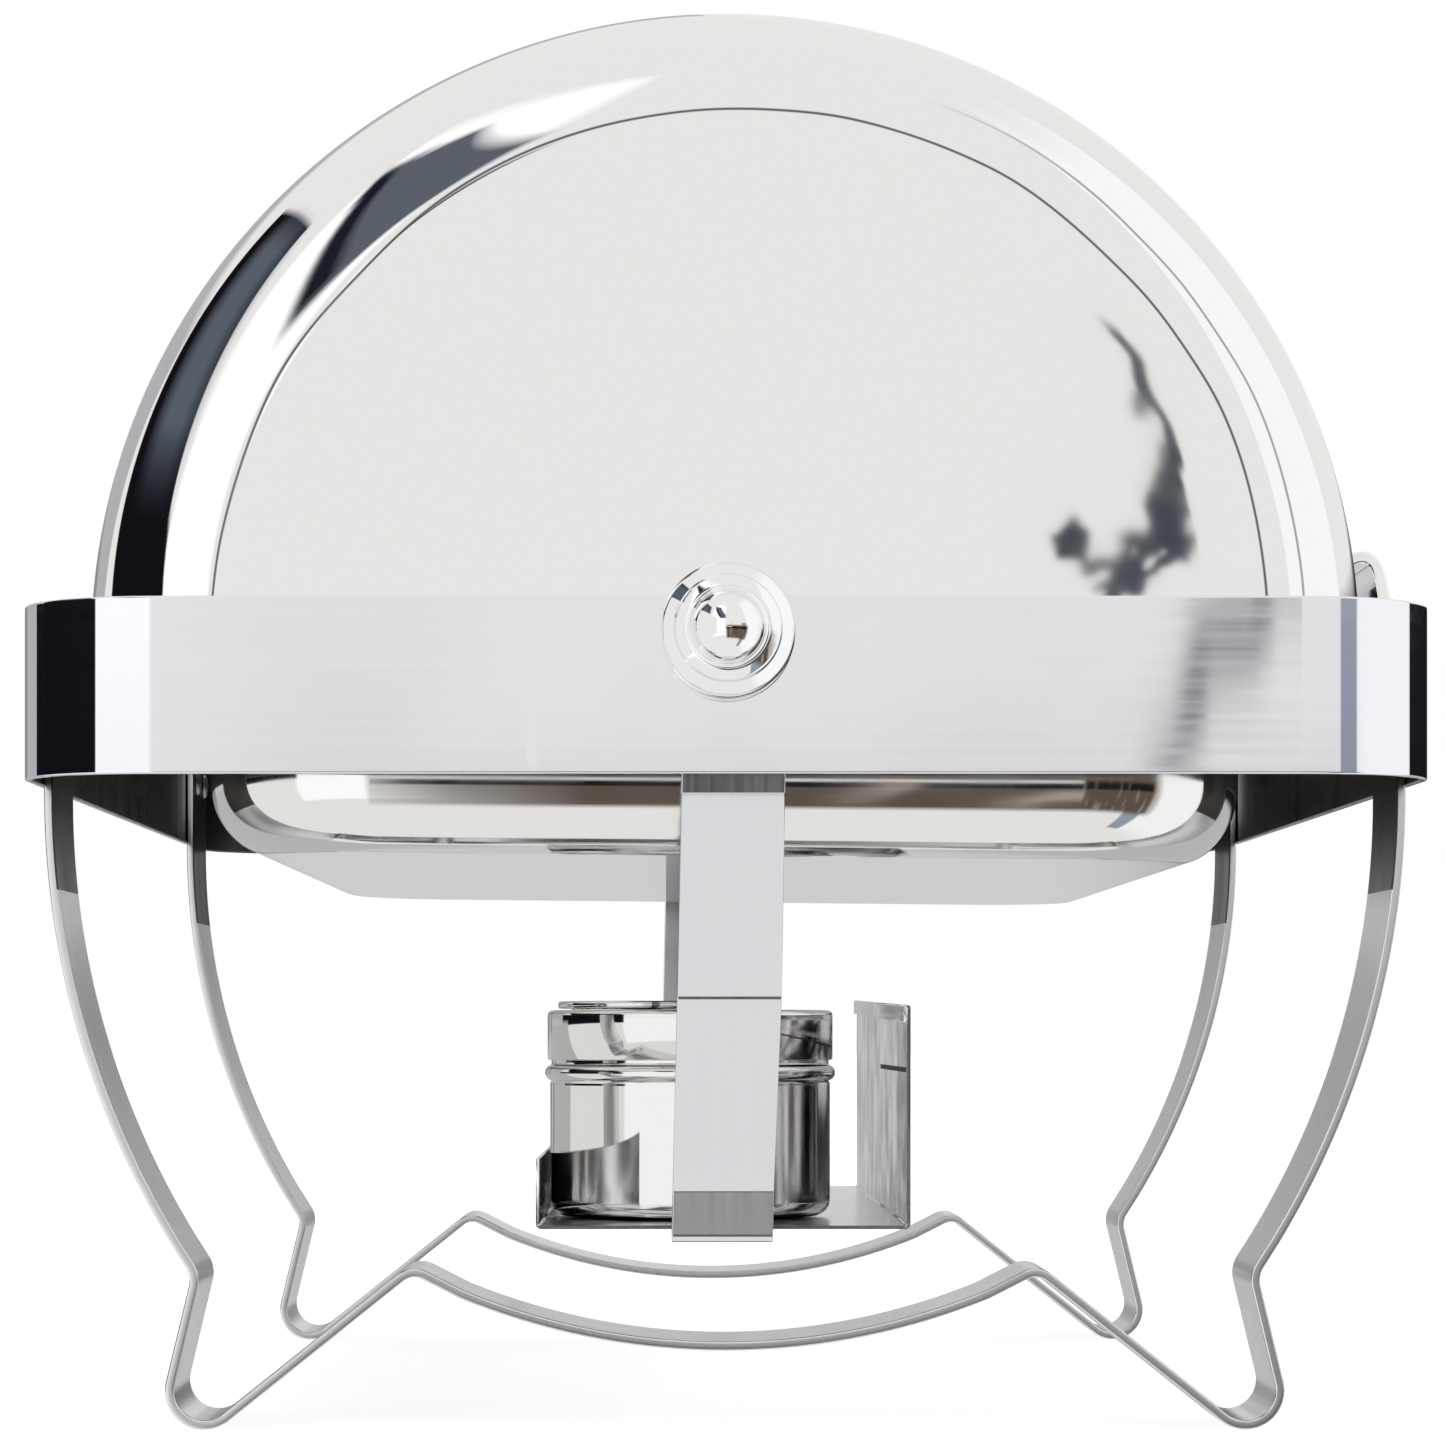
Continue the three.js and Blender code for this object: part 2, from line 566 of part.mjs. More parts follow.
// The snuffer disc with its ear, outlined round the disc's middle; the ear's hole is up along +Y.
function snufferDisc(direction) {
  const { radius, ear, pivotY, swing, z0, z1 } = SNUFFER;
  const tangent = Math.acos((radius - ear) / pivotY) / DEG;
  const outline = new THREE.Shape([
    ...arcPoints(0, 0, radius, 90 + tangent, 450 - tangent, 26),
    ...arcPoints(0, pivotY, ear, 90 - tangent, 90 + tangent, 8),
  ].map(([x, y]) => new THREE.Vector2(x, y)));
  const plate = new THREE.ExtrudeGeometry(outline, { depth: z1 - z0, bevelEnabled: false });
  plate.translate(0, -pivotY, z0);
  const disc = cut(plate, rodAlongZ(2.3, 120, 145, 0, 0, 12));
  disc.rotateZ(-swing * DEG);
  if (direction < 0) disc.rotateZ(180 * DEG + 2 * swing * DEG);
  return disc;
}

function snufferRivet() {
  const { z0, z1 } = CUP_LID;
  const bottom = z1 - CUP_LID.sheet - GAP;
  const top = SNUFFER.z1 + GAP;
  return turnedUpright([[0, bottom - 1], [3, bottom - 1], [3.6, bottom], [2, bottom], [2, top],
    [4, top], [3, top + 1.2], [0, top + 1.2]], 8);
}

const chafer = new THREE.Group();
chafer.position.x = BAND_MIDDLE_X;

function addPiece(name, geometry, look) {
  const mesh = new THREE.Mesh(geometry, new THREE.MeshStandardMaterial(look));
  mesh.name = name;
  chafer.add(mesh);
  return mesh;
}

addPiece('frame_band', frameBand(), SATIN);
addPiece('pan_carrier', panCarrier(), SATIN);
addPiece('burner_tray', burnerTray(), SATIN);

for (const [end, sign] of ENDS) {
  addPiece(`leg_frame_${end}`, legFrame(-sign * LEG.nearY), SATIN);
  const rows = [-sign * LEG.nearY - LEG_RIVET.offsetY, -sign * LEG.nearY + LEG_RIVET.offsetY];
  rows.forEach((y, i) => {
    addPiece(`leg_rivet_${end}_front_${i + 1}`, legRivet(1, y), ZINC);
    addPiece(`leg_rivet_${end}_rear_${i + 1}`, legRivet(-1, y), ZINC);
  });

  addPiece(`carrier_bracket_${end}`, carrierBracket(sign * BRACKET.y), ZINC);
  addPiece(`bracket_rivet_${end}_carrier`, carrierRivet(sign * BRACKET.y), ZINC);
  addPiece(`bracket_rivet_${end}_band`, bandRivet(sign * BRACKET.y), ZINC);
  addPiece(`lid_bumper_${end}`, lidBumper(sign * BRACKET.y), RUBBER);

  addPiece(`hanger_${end}`, hanger(end, sign), SATIN);
  addPiece(`tray_rivet_${end}_front`, trayRivet(trayRivetsX(end).front, sign * TRAY_RIVET.y), ZINC);
  addPiece(`tray_rivet_${end}_rear`, trayRivet(trayRivetsX(end).rear, sign * TRAY_RIVET.y), ZINC);

  const near = sign < 0;
  addPiece(`pivot_bolt_${end}`, onPivot(pivotBolt(), near), ZINC);
  addPiece(`pivot_nut_${end}`, onPivot(pivotNut(), near), ZINC);
  addPiece(`pivot_washer_${end}`, onPivot(pivotSleeve(7.8, 286.5, 289.5), near), ZINC);
  addPiece(`pivot_spacer_${end}`, onPivot(pivotSleeve(9, 291.3, 305.4), near), ZINC);
  addPiece(`pivot_collar_${end}`, onPivot(pivotCollar(), near), CHROME);
  addPiece(`pivot_knob_${end}`, onPivot(pivotKnob(), near), CHROME);

  // The snuffer's rivet stands on the side of the cup that faces the middle of the tray.
  const cupY = sign * CUP.y;
  const rivetY = -sign * SNUFFER.pivotY;
  addPiece(`fuel_cup_${end}`, fuelCup().translate(CUP.x, cupY, 0), POLISHED_CUP);
  addPiece(`fuel_lid_${end}`, fuelLid(0, rivetY).translate(CUP.x, cupY, 0), POLISHED_CUP);
  addPiece(`snuffer_disc_${end}`, snufferDisc(-sign).translate(CUP.x, cupY + rivetY, 0), POLISHED_CUP);
  addPiece(`snuffer_rivet_${end}`, snufferRivet().translate(CUP.x, cupY + rivetY, 0), ZINC);

  addPiece(`handle_post_${end}`, handlePost(sign * HANDLE.postY), CHROME);
  addPiece(`handle_screw_${end}`, handleScrew(sign * HANDLE.postY), ZINC);
}

addPiece('dome_cover', domeCover(), MIRROR);
addPiece('handle_grip', handleGrip(), CHROME);
addPiece('water_pan', pan(WATER_PAN), MIRROR);
addPiece('food_pan', pan(FOOD_PAN), MIRROR);

export default chafer;
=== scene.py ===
"""Looks of a roll top chafer: polished lid and pans, satin band, legs and tray, chrome knobs."""
import math

import bpy
import bmesh
from mathutils import Matrix, Vector


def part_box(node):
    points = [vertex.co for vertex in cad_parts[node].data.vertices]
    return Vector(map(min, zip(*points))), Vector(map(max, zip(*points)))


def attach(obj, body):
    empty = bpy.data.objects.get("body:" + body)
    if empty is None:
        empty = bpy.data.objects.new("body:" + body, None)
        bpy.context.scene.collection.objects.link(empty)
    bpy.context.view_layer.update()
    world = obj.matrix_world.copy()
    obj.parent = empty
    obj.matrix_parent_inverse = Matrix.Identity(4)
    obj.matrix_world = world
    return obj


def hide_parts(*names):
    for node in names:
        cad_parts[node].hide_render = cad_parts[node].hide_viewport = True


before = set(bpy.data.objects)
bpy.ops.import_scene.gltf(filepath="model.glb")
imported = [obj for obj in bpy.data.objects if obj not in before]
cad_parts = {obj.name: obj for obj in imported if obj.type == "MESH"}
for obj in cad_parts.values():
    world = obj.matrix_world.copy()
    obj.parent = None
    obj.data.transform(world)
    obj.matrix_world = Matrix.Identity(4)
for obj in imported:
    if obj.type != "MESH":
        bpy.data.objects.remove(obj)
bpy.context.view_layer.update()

MM = 0.001
BAND_LOW, BAND_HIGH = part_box("frame_band")
MIDDLE_X = (BAND_LOW.x + BAND_HIGH.x) / 2
PIVOT_Z = 252.0  # the lid's turning axis; sizes from here on are in millimetres and degrees

BAND = {"half_x": 223.0, "half_y": 310.0, "corner": 46.0, "sheet": 2.5, "z0": 208.3, "z1": 263.3}
CARRIER = {"half_x": 190.0, "half_y": 286.2, "corner": 44.0, "sheet": 2.0, "z0": 232.0, "z1": 260.0}
DOME = {"radius": 204.5, "sheet": 1.2, "half_y": 291.0, "edge_y": 289.5, "fillet": 45.0, "ear": 22.0}
# Press-ring lines on the lid's ends: real grooves of the given depth, each darkened by a painted reflection
# of the given strength.
DRAW_LINES = [
    {"radius": 166.0, "shift": 4.5, "half_width": 0.5, "depth": 0.08, "painted_darkness": 0.95, "front_only": False},
    {"radius": 180.5, "shift": 1.5, "half_width": 0.45, "depth": 0.02, "painted_darkness": 0.7, "front_only": True},
]
LEG = {"sheet": 3.0, "width": 50.0, "middle_y": 218.4, "top_x": 218.7, "top_z": 250.0, "bend_z": 206.0,
       "painted_shade_z": 176.0}
LEG_BEND = {"middle_x": -60.2, "radius": 278.9, "sweep": 32.4}
LEG_KNEE = {"corner": (171.0, 50.0), "rounding": 9}
LEG_PEAK = {"corner": (101.3, 52.0), "rounding": 7, "stretcher_x": 85}
LEG_RIVETS = {"offset": 14, "z": 234.0}
FOOT = {"x": 168.4, "radius": 11.2, "out": 13.0, "in": 39.0}
SAG_RADIUS = 225.0
HANGER = {"width": 32.4, "sheet": 1.5, "leg_z": 61.95, "lean": 0.0207, "rounding": 2.0}
HANGER_BENDS = [(306.45, 262), (306.45, 238), (297.6, 216), (296.4, 203), (308, 139), (259, 78),
                (259, 61.95), (172, 61.95)]
HANGER_MIDDLE_X = {"near": 2.9, "far": -2.0}
TRAY = {"half_x": 62.4, "half_y": 200.0, "sheet": 1.2, "floor": 63.0, "rear": 86.5, "front": 140.0,
        "hem": 5.7}
TRAY_SLOPE = 2.35 / 200
TRAY_SLIT = {"z": 116.0, "height": 1.7, "y": (-194, -14)}
TRAY_RIVETS = {"offset": 9.0, "y": 186}
BUMPER = {"x": 204, "y": 90}
CUP = {"x": -10.6, "y": 118.0, "base": 64.5, "body": 49.1, "bead": 50.9, "bead_z": 114.5, "neck": 48.7}
CUP_LID = {"radius": 50.0, "z0": 118.9, "z1": 136.4, "hole": 28.5, "sheet": 0.8}
SNUFFER = {"radius": 32.0, "ear": 6.0, "pivot_y": 40.0, "swing": 21.0}
# Pans: half sizes, corner radius and level of the floor, half sizes and corner radius of the wall's foot,
# half sizes and level of its top, half sizes and corner radius of the rim.
WATER_PAN = {"floor": (148, 251, 38, 183.5), "wall": (168.8, 272, 56), "bend": 25,
             "top": (171, 274.5, 260.3), "rim": (191.5, 286.2, 46), "sheet": 0.9, "tilt": 0.02}
FOOD_PAN = {"floor": (138, 239, 30, 197.5), "wall": (150, 251, 42), "bend": 15, "top": (154, 255, 261.8),
            "rim": (176, 277, 40), "sheet": 0.8, "tilt": 0.0}
HANDLE = {"half_y": 90.0, "sheet": 4.6, "post_y": 60.0, "angle": 7.5}
HANDLE_PATH = [(219.3, 270), (218.1, 281), (218.5, 287), (221, 292.6), (224.8, 296.6), (229.6, 298.2),
               (233.4, 296.6), (235.6, 292.4), (236.8, 287), (237.4, 281), (237.2, 268)]
ENDS = (("near", -1), ("far", 1))

# The camera, in metres: from the band's near face, aside from the band's middle, above the feet.
CAMERA_DISTANCE = 1.4
CAMERA_ASIDE = -0.0187
CAMERA_HEIGHT = 0.1273
FOCAL_LENGTH = 113.0
VIEW_SHIFT = (0.0384, 0.217)
FLOOR_GLOW = 0.72
# The light overhead is in metres; the card beside the near knob is in millimetres from the band's middle.
OVERHEAD = {"location": (-0.4, -0.2, 2.6), "target": (0, 0, 0.2), "size": (2.4, 2.4), "watts": 16}
KNOB_CARD = {"x": -62.0, "y": (-420.0, -311.5), "z": (212.0, 292.0)}
LID_COLOUR = (0.92, 0.92, 0.925)


# ---------------------------------------------------------------- materials

def new_material(name, colour, roughness, metallic=1.0):
    material = bpy.data.materials.new(name)
    material.use_nodes = True
    shader = material.node_tree.nodes["Principled BSDF"]
    shader.inputs["Base Color"].default_value = (*colour, 1)
    shader.inputs["Roughness"].default_value = roughness
    shader.inputs["Metallic"].default_value = metallic
    return material, material.node_tree, shader


def scaled_noise(tree, scale, detail=2.0, stretch=(1, 1, 1)):
    place = tree.nodes.new("ShaderNodeTexCoord")
    mapping = tree.nodes.new("ShaderNodeMapping")
    mapping.inputs["Scale"].default_value = stretch
    tree.links.new(place.outputs["Object"], mapping.inputs["Vector"])
    noise = tree.nodes.new("ShaderNodeTexNoise")
    noise.inputs["Scale"].default_value = scale
    noise.inputs["Detail"].default_value = detail
    tree.links.new(mapping.outputs["Vector"], noise.inputs["Vector"])
    return noise.outputs["Fac"]


def mapped(tree, value, low, high, from_low=0.3, from_high=0.7):
    ranged = tree.nodes.new("ShaderNodeMapRange")
    ranged.inputs["From Min"].default_value = from_low
    ranged.inputs["From Max"].default_value = from_high
    ranged.inputs["To Min"].default_value = low
    ranged.inputs["To Max"].default_value = high
    tree.links.new(value, ranged.inputs["Value"])
    return ranged.outputs["Result"]


def calculated(tree, operation, *values):
    node = tree.nodes.new("ShaderNodeMath")
    node.operation = operation
    for socket, value in zip(node.inputs, values):
        if isinstance(value, (int, float)):
            socket.default_value = value
        else:
            tree.links.new(value, socket)
    return node.outputs["Value"]


def blended(tree, base, other, mask):
    node = tree.nodes.new("ShaderNodeMix")
    node.data_type = "RGBA"
    tree.links.new(mask, node.inputs["Factor"])
    for socket, value in zip((node.inputs[6], node.inputs[7]), (base, other)):
        if isinstance(value, tuple):
            socket.default_value = (*value, 1)
        else:
            tree.links.new(value, socket)
    return node.outputs[2]


def add_bump(tree, shader, heights):
    """Chains bump nodes: each height is (socket, strength, distance in metres)."""
    normal = None
    for height, strength, distance in heights:
        bump = tree.nodes.new("ShaderNodeBump")
        bump.inputs["Strength"].default_value = strength
        bump.inputs["Distance"].default_value = distance
        tree.links.new(height, bump.inputs["Height"])
        if normal is not None:
            tree.links.new(normal, bump.inputs["Normal"])
        normal = bump.outputs["Normal"]
    tree.links.new(normal, shader.inputs["Normal"])


def polished_steel(name, colour, roughness, wave_scale, wave_depth):
    """Mirror-polished sheet: slow waves from the press tools and fine polishing haze."""
    material, tree, shader = new_material(name, colour, roughness)
    waves = scaled_noise(tree, wave_scale, 1.0)
    haze = scaled_noise(tree, 45, 4.0)
    tree.links.new(mapped(tree, haze, roughness * 0.75, roughness * 1.5), shader.inputs["Roughness"])
    add_bump(tree, shader, [(waves, 1.0, wave_depth)])
    return material


def paint_draw_line_reflections(material):
    """Paints the two hair lines that the press ring leaves on each end of the lid dark: the grooves are
    real, their darkness is a painted reflection.
    """
    tree = material.node_tree
    place = tree.nodes.new("ShaderNodeTexCoord")
    split = tree.nodes.new("ShaderNodeSeparateXYZ")
    tree.links.new(place.outputs["Object"], split.inputs["Vector"])
    wobble = mapped(tree, scaled_noise(tree, 14, 1.0), -0.9, 0.9)
    up = calculated(tree, "MULTIPLY_ADD", split.outputs["Z"], 1 / MM, -PIVOT_Z)
    colour = LID_COLOUR
    for line in DRAW_LINES:
        middle = line["shift"] + MIDDLE_X / MM
        across = calculated(tree, "MULTIPLY_ADD", split.outputs["X"], 1 / MM, -middle)
        squares = calculated(tree, "ADD", calculated(tree, "POWER", across, 2.0),
                             calculated(tree, "POWER", up, 2.0))
        off_line = calculated(tree, "SUBTRACT", calculated(tree, "SQRT", squares), line["radius"])
        off_line = calculated(tree, "ABSOLUTE", calculated(tree, "ADD", off_line, wobble))
        mask = mapped(tree, off_line, line["painted_darkness"], 0, line["half_width"] * 0.4, line["half_width"] * 1.2)
        if line["front_only"]:
            mask = calculated(tree, "MULTIPLY", mask, mapped(tree, across, 0, 1, 60, 110))
        # Painted reflection: a near-black line blended into the lid's colour.
        colour = blended(tree, colour, (0.1, 0.1, 0.11), mask)
    tree.links.new(colour, tree.nodes["Principled BSDF"].inputs["Base Color"])


def brushed_steel(name, colour, roughness, stretch, line_depth, smear=0.0):
    """Satin sheet with brushing lines that vary quickly along the axes with a large stretch.

    A smear near 1 draws mirrored things out up and down, as brushing round the band does."""
    material, tree, shader = new_material(name, colour, roughness)
    lines = scaled_noise(tree, 1.0, 3.0, stretch)
    patches = scaled_noise(tree, 9, 3.0)
    rough_lines = mapped(tree, lines, roughness * 0.85, roughness * 1.2)
    rough_patches = mapped(tree, patches, -0.02, 0.03)
    tree.links.new(calculated(tree, "ADD", rough_lines, rough_patches), shader.inputs["Roughness"])
    add_bump(tree, shader, [(lines, 0.3, line_depth)])
    if smear:
        shader.inputs["Anisotropic"].default_value = smear
        shader.inputs["Anisotropic Rotation"].default_value = 0.25
        tangent = tree.nodes.new("ShaderNodeTangent")
        tangent.direction_type = "RADIAL"
        tangent.axis = "Z"
        tree.links.new(tangent.outputs["Tangent"], shader.inputs["Tangent"])
    return material


def plated_steel():
    """Dull zinc plate with a faint mottled spangle."""
    material, tree, shader = new_material("zinc_plate", (0.55, 0.56, 0.57), 0.38)
    spangle = scaled_noise(tree, 260, 2.0)
    tree.links.new(mapped(tree, spangle, 0.3, 0.5), shader.inputs["Roughness"])
    add_bump(tree, shader, [(spangle, 0.2, 0.0001)])
    return material


def bumper_rubber():
    material, tree, shader = new_material("moulded_rubber", (0.02, 0.02, 0.021), 0.7, 0.0)
    grain = scaled_noise(tree, 900, 3.0)
    add_bump(tree, shader, [(grain, 0.4, 0.0001)])
    return material


LID_STEEL = polished_steel("lid_polished_steel", LID_COLOUR, 0.025, 7, 0.0003)
paint_draw_line_reflections(LID_STEEL)
PAN_STEEL = polished_steel("pan_polished_steel", (0.88, 0.875, 0.87), 0.06, 14, 0.0003)
CUP_STEEL = polished_steel("cup_polished_steel", (0.8, 0.79, 0.78), 0.05, 14, 0.00003)
CHROME = polished_steel("bright_chrome_plate", (0.93, 0.935, 0.94), 0.03, 30, 0.00002)
BAND_STEEL = brushed_steel("band_brushed_steel", (0.88, 0.89, 0.93), 0.05, (3, 3, 500), 0.0000006, 1.0)
# Painted shade: near-black steel for the band's inside and the legs' inner tops, standing in for the dark
# they mirror.
INSIDE_PAINTED_SHADE = brushed_steel("band_inside_painted_shade", (0.1, 0.092, 0.086), 0.3, (60, 60, 4), 0.00001)
LEG_STEEL = brushed_steel("leg_satin_steel", (0.82, 0.825, 0.83), 0.2, (4, 700, 4), 0.000006)
HANGER_STEEL = brushed_steel("hanger_brushed_steel", (0.8, 0.82, 0.86), 0.14, (600, 4, 4), 0.000003)
TRAY_STEEL = polished_steel("tray_satin_steel", (0.92, 0.925, 0.94), 0.16, 5, 0.00001)
CARRIER_STEEL = brushed_steel("carrier_satin_steel", (0.4, 0.39, 0.38), 0.25, (4, 4, 700), 0.000006)
ZINC = plated_steel()
RUBBER = bumper_rubber()


# ---------------------------------------------------------------- mesh building

def finish_piece(name, points, faces, material, body, slot, nodes=(), weighted=True):
    """Makes one smooth-shaded piece from points in millimetres from the band's middle at floor level."""
    mesh = bpy.data.meshes.new(name)
    mesh.from_pydata([(MIDDLE_X + x * MM, y * MM, z * MM) for x, y, z in points], [], faces)
    form = bmesh.new()
    form.from_mesh(mesh)
    bmesh.ops.remove_doubles(form, verts=form.verts, dist=1e-7)
    bmesh.ops.dissolve_degenerate(form, edges=form.edges, dist=1e-8)
    bmesh.ops.recalc_face_normals(form, faces=form.faces)
    form.to_mesh(mesh)
    form.free()
    mesh.shade_smooth()
    mesh.materials.append(material)
    piece = bpy.data.objects.new(name, mesh)
    bpy.context.scene.collection.objects.link(piece)
    if weighted:
        modifier = piece.modifiers.new("flat_faces_stay_flat", "WEIGHTED_NORMAL")
        modifier.weight = 100
    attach(piece, body)
    if nodes:
        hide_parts(*nodes)
    return piece


def grid_faces(rows, columns, close_rows, close_columns):
    faces = []
    for i in range(rows if close_rows else rows - 1):
        for j in range(columns if close_columns else columns - 1):
            a = i * columns + j
            b = i * columns + (j + 1) % columns
            c = ((i + 1) % rows) * columns + (j + 1) % columns
            d = ((i + 1) % rows) * columns + j
            faces.append((a, b, c, d))
    return faces


def arc(cx, cz, radius, start, end, steps):
    points = []
    for i in range(steps + 1):
        angle = math.radians(start + (end - start) * i / steps)
        points.append((cx + radius * math.cos(angle), cz + radius * math.sin(angle)))
    return points


def round_corner(before, corner, after, radius, steps):
    """The arc that replaces one corner of a path."""
    a = (Vector(before) - Vector(corner)).normalized()
    b = (Vector(after) - Vector(corner)).normalized()
    half = a.angle(b) / 2
    centre = Vector(corner) + (a + b).normalized() * (radius / math.sin(half))
    start = Vector(corner) + a * (radius / math.tan(half)) - centre
    end = Vector(corner) + b * (radius / math.tan(half)) - centre
    turn = math.atan2(start.x * end.y - start.y * end.x, start.dot(end))
    first = math.atan2(start.y, start.x)
    return [(centre.x + radius * math.cos(first + turn * i / steps),
             centre.y + radius * math.sin(first + turn * i / steps)) for i in range(steps + 1)]


def rounded_path(points, radii, steps=5, closed=True):
    """A path with each corner rounded by its own radius; a radius of 0 keeps the corner."""
    result = []
    count = len(points)
    for i, (corner, radius) in enumerate(zip(points, radii)):
        if radius == 0 or (not closed and i in (0, count - 1)):
            result.append(tuple(corner))
            continue
        result += round_corner(points[i - 1], corner, points[(i + 1) % count], radius, steps)
    return result


def rounded_section(width, height, radius, steps=3):
    w, h = width / 2, height / 2
    return rounded_path([(-w, -h), (w, -h), (w, h), (-w, h)], [radius] * 4, steps)


def path_normals(path, closed):
    """The unit normal at each point of a 2-D path, to the right of its direction."""
    normals = []
    count = len(path)
    for i in range(count):
        before = Vector(path[i - 1] if closed or i > 0 else path[0])
        after = Vector(path[(i + 1) % count] if closed or i < count - 1 else path[-1])
        along = (after - before).normalized()
        normals.append((along.y, -along.x))
    return normals


def swept(name, stations, section, closed, **looks):
    """Sweeps a section along stations of (origin, direction u, direction v)."""
    points = []
    for origin, u, v in stations:
        for a, b in section:
            points.append(tuple(origin[k] + u[k] * a + v[k] * b for k in range(3)))
    columns = len(section)
    faces = grid_faces(len(stations), columns, closed, True)
    if not closed:
        last = (len(stations) - 1) * columns
        faces.append(tuple(range(columns)))
        faces.append(tuple(last + k for k in range(columns)))
    return finish_piece(name, points, faces, **looks)


def strip_in_xz(name, path, middle_y, section, **looks):
    stations = []
    for (x, z), (nx, nz) in zip(path, path_normals(path, False)):
        stations.append(((x, middle_y, z), (nx, 0, nz), (0, 1, 0)))
    return swept(name, stations, section, False, **looks)


def rounded_plan(half_x, half_y, corner, steps):
    square = [(half_x, half_y), (-half_x, half_y), (-half_x, -half_y), (half_x, -half_y)]
    return rounded_path(square, [corner] * 4, steps)


def ring_on_plan(name, size, rounding, **looks):
    half = size["sheet"] / 2
    plan = rounded_plan(size["half_x"] - half, size["half_y"] - half, size["corner"] - half, 28)
    middle_z = (size["z0"] + size["z1"]) / 2
    stations = []
    for (x, y), (nx, ny) in zip(plan, path_normals(plan, True)):
        stations.append(((x, y, middle_z), (nx, ny, 0), (0, 0, 1)))
    section = rounded_section(size["sheet"], size["z1"] - size["z0"], rounding)
    return swept(name, stations, section, True, **looks)


def paint_inside_shade(piece, lowest_z=0.0, across_only=False):
    """Gives faces that look towards the middle, above a height, a near-black material: painted shade
    standing in for the dark these faces mirror.
    """
    piece.data.materials.append(INSIDE_PAINTED_SHADE)
    for face in piece.data.polygons:
        inwards = -face.normal.x * (face.center.x - MIDDLE_X)
        if not across_only:
            inwards -= face.normal.y * face.center.y
        if inwards > 0.02 and face.center.z > lowest_z * MM:
            face.material_index = 1


def turned(name, profile, place, sides=64, closed=True, **looks):
    """Revolves (radius, height) pairs; place maps a local point, with the axis along Z, to the part."""
    points = []
    for k in range(sides):
        angle = 2 * math.pi * k / sides
        for radius, height in profile:
            points.append(place(radius * math.cos(angle), radius * math.sin(angle), height))
    faces = grid_faces(sides, len(profile), True, closed)
    return finish_piece(name, points, faces, **looks)


def upright(x, y, z=0.0):
    return lambda a, b, h: (x + a, y + b, z + h)


def on_pivot(sign):
    return lambda a, b, h: (a, sign * h, PIVOT_Z + b)


def along_x(side, y, z):
    return lambda a, b, h: (side * h, y + a, z + b)


def on_handle(y):
    angle = math.radians(HANDLE["angle"])
    return lambda a, b, h: (h * math.cos(angle) - a * math.sin(angle), y + b,
                            PIVOT_Z + h * math.sin(angle) + a * math.cos(angle))


def lofted(name, loops, capped, **looks):
    points = [point for loop in loops for point in loop]
    columns = len(loops[0])
    faces = grid_faces(len(loops), columns, not capped, True)
    if capped:
        last = (len(loops) - 1) * columns
        faces.append(tuple(range(columns)))
        faces.append(tuple(last + k for k in range(columns)))
    return finish_piece(name, points, faces, **looks)


# ---------------------------------------------------------------- lid

def dome_section(inset, angle):
    """(radius, y) of the shell's far end at one angle, from the end's middle to the straight part.

    Two hair-fine lines left by the press ring run round the start of the big bend."""
    end_radius = DOME["radius"] - DOME["fillet"]
    plate = [(r, DOME["half_y"] - inset - 1.5 * max(0.0, (r - 40) / (end_radius - 40)) ** 2)
             for r in (0, 4, 8, 14, 22, 34, 48, 64, 80, 96, 112, 128, 140, 150)]
    bends, start = [], 1.5
    for line in DRAW_LINES:
        middle = math.asin((line["radius"] + line["shift"] * math.cos(angle) - end_radius) / DOME["fillet"])
        middle = math.degrees(middle)
        width = math.degrees(line["half_width"] / DOME["fillet"])
        bends += [(start + (middle - width - start) * i / 5, 0.0) for i in range(6)]
        bends += [(middle, line["depth"]), (middle + width, 0.0)]
        start = middle + width
    bends += [(start + (90 - start) * i / 16, 0.0) for i in range(1, 17)]
    curve = []
    for bend, sunk in bends:
        radius = DOME["fillet"] - inset - sunk
        curve.append((end_radius + radius * math.sin(math.radians(bend)),
                      DOME["edge_y"] - DOME["fillet"] + radius * math.cos(math.radians(bend))))
    return plate + curve


def dome_shell():
    points = []
    steps = 120
    for k in range(steps + 1):
        angle = math.pi * k / steps
        outer, inner = dome_section(0.0, angle), dome_section(DOME["sheet"], angle)
        outer = [(r, -y) for r, y in outer] + outer[::-1]
        inner = [(r, -y) for r, y in inner] + inner[::-1]
        for r, y in outer + inner[::-1]:
            points.append((r * math.cos(angle), y, PIVOT_Z + r * math.sin(angle)))
    columns = 2 * len(outer)
    faces = grid_faces(steps + 1, columns, False, True)
    for base in (0, steps * columns):
        for i in range(len(outer) - 1):
            faces.append((base + i, base + i + 1, base + columns - 2 - i, base + columns - 1 - i))
    finish_piece("lid_shell", points, faces, LID_STEEL, "lid", "polished_stainless",
                 ("dome_cover",), weighted=False)


def lid_ear(sign):
    """The lower half of the round boss through which the pivot bolt passes."""
    low, high = DOME["half_y"] - DOME["sheet"], DOME["half_y"]
    radius = DOME["ear"]
    rim = [(0, low), (radius - 0.3, low), (radius, low + 0.3), (radius, high - 0.3), (radius - 0.3, high),
           (0, high)]
    points = []
    steps = 32
    for k in range(steps + 1):
        angle = math.pi + math.pi * k / steps
        for r, y in rim:
            points.append((r * math.cos(angle), sign * y, PIVOT_Z + r * math.sin(angle)))
    faces = grid_faces(steps + 1, len(rim), False, True)
    finish_piece(f"lid_ear_{'near' if sign < 0 else 'far'}", points, faces, LID_STEEL, "lid",
                 "polished_stainless")


def lid_hem(side):
    """The folded hem inside the lid's straight lower edge."""
    section = rounded_section(1.0, 9.0, 0.45)
    stations = []
    x = side * (DOME["radius"] - DOME["sheet"] - 0.6)
    for y in (-243, -120, 0, 120, 243):
        stations.append(((x, y, PIVOT_Z + 4.6), (1, 0, 0), (0, 0, 1)))
    swept(f"lid_hem_{'front' if side > 0 else 'rear'}", stations, section, False, material=LID_STEEL,
          body="lid", slot="polished_stainless")


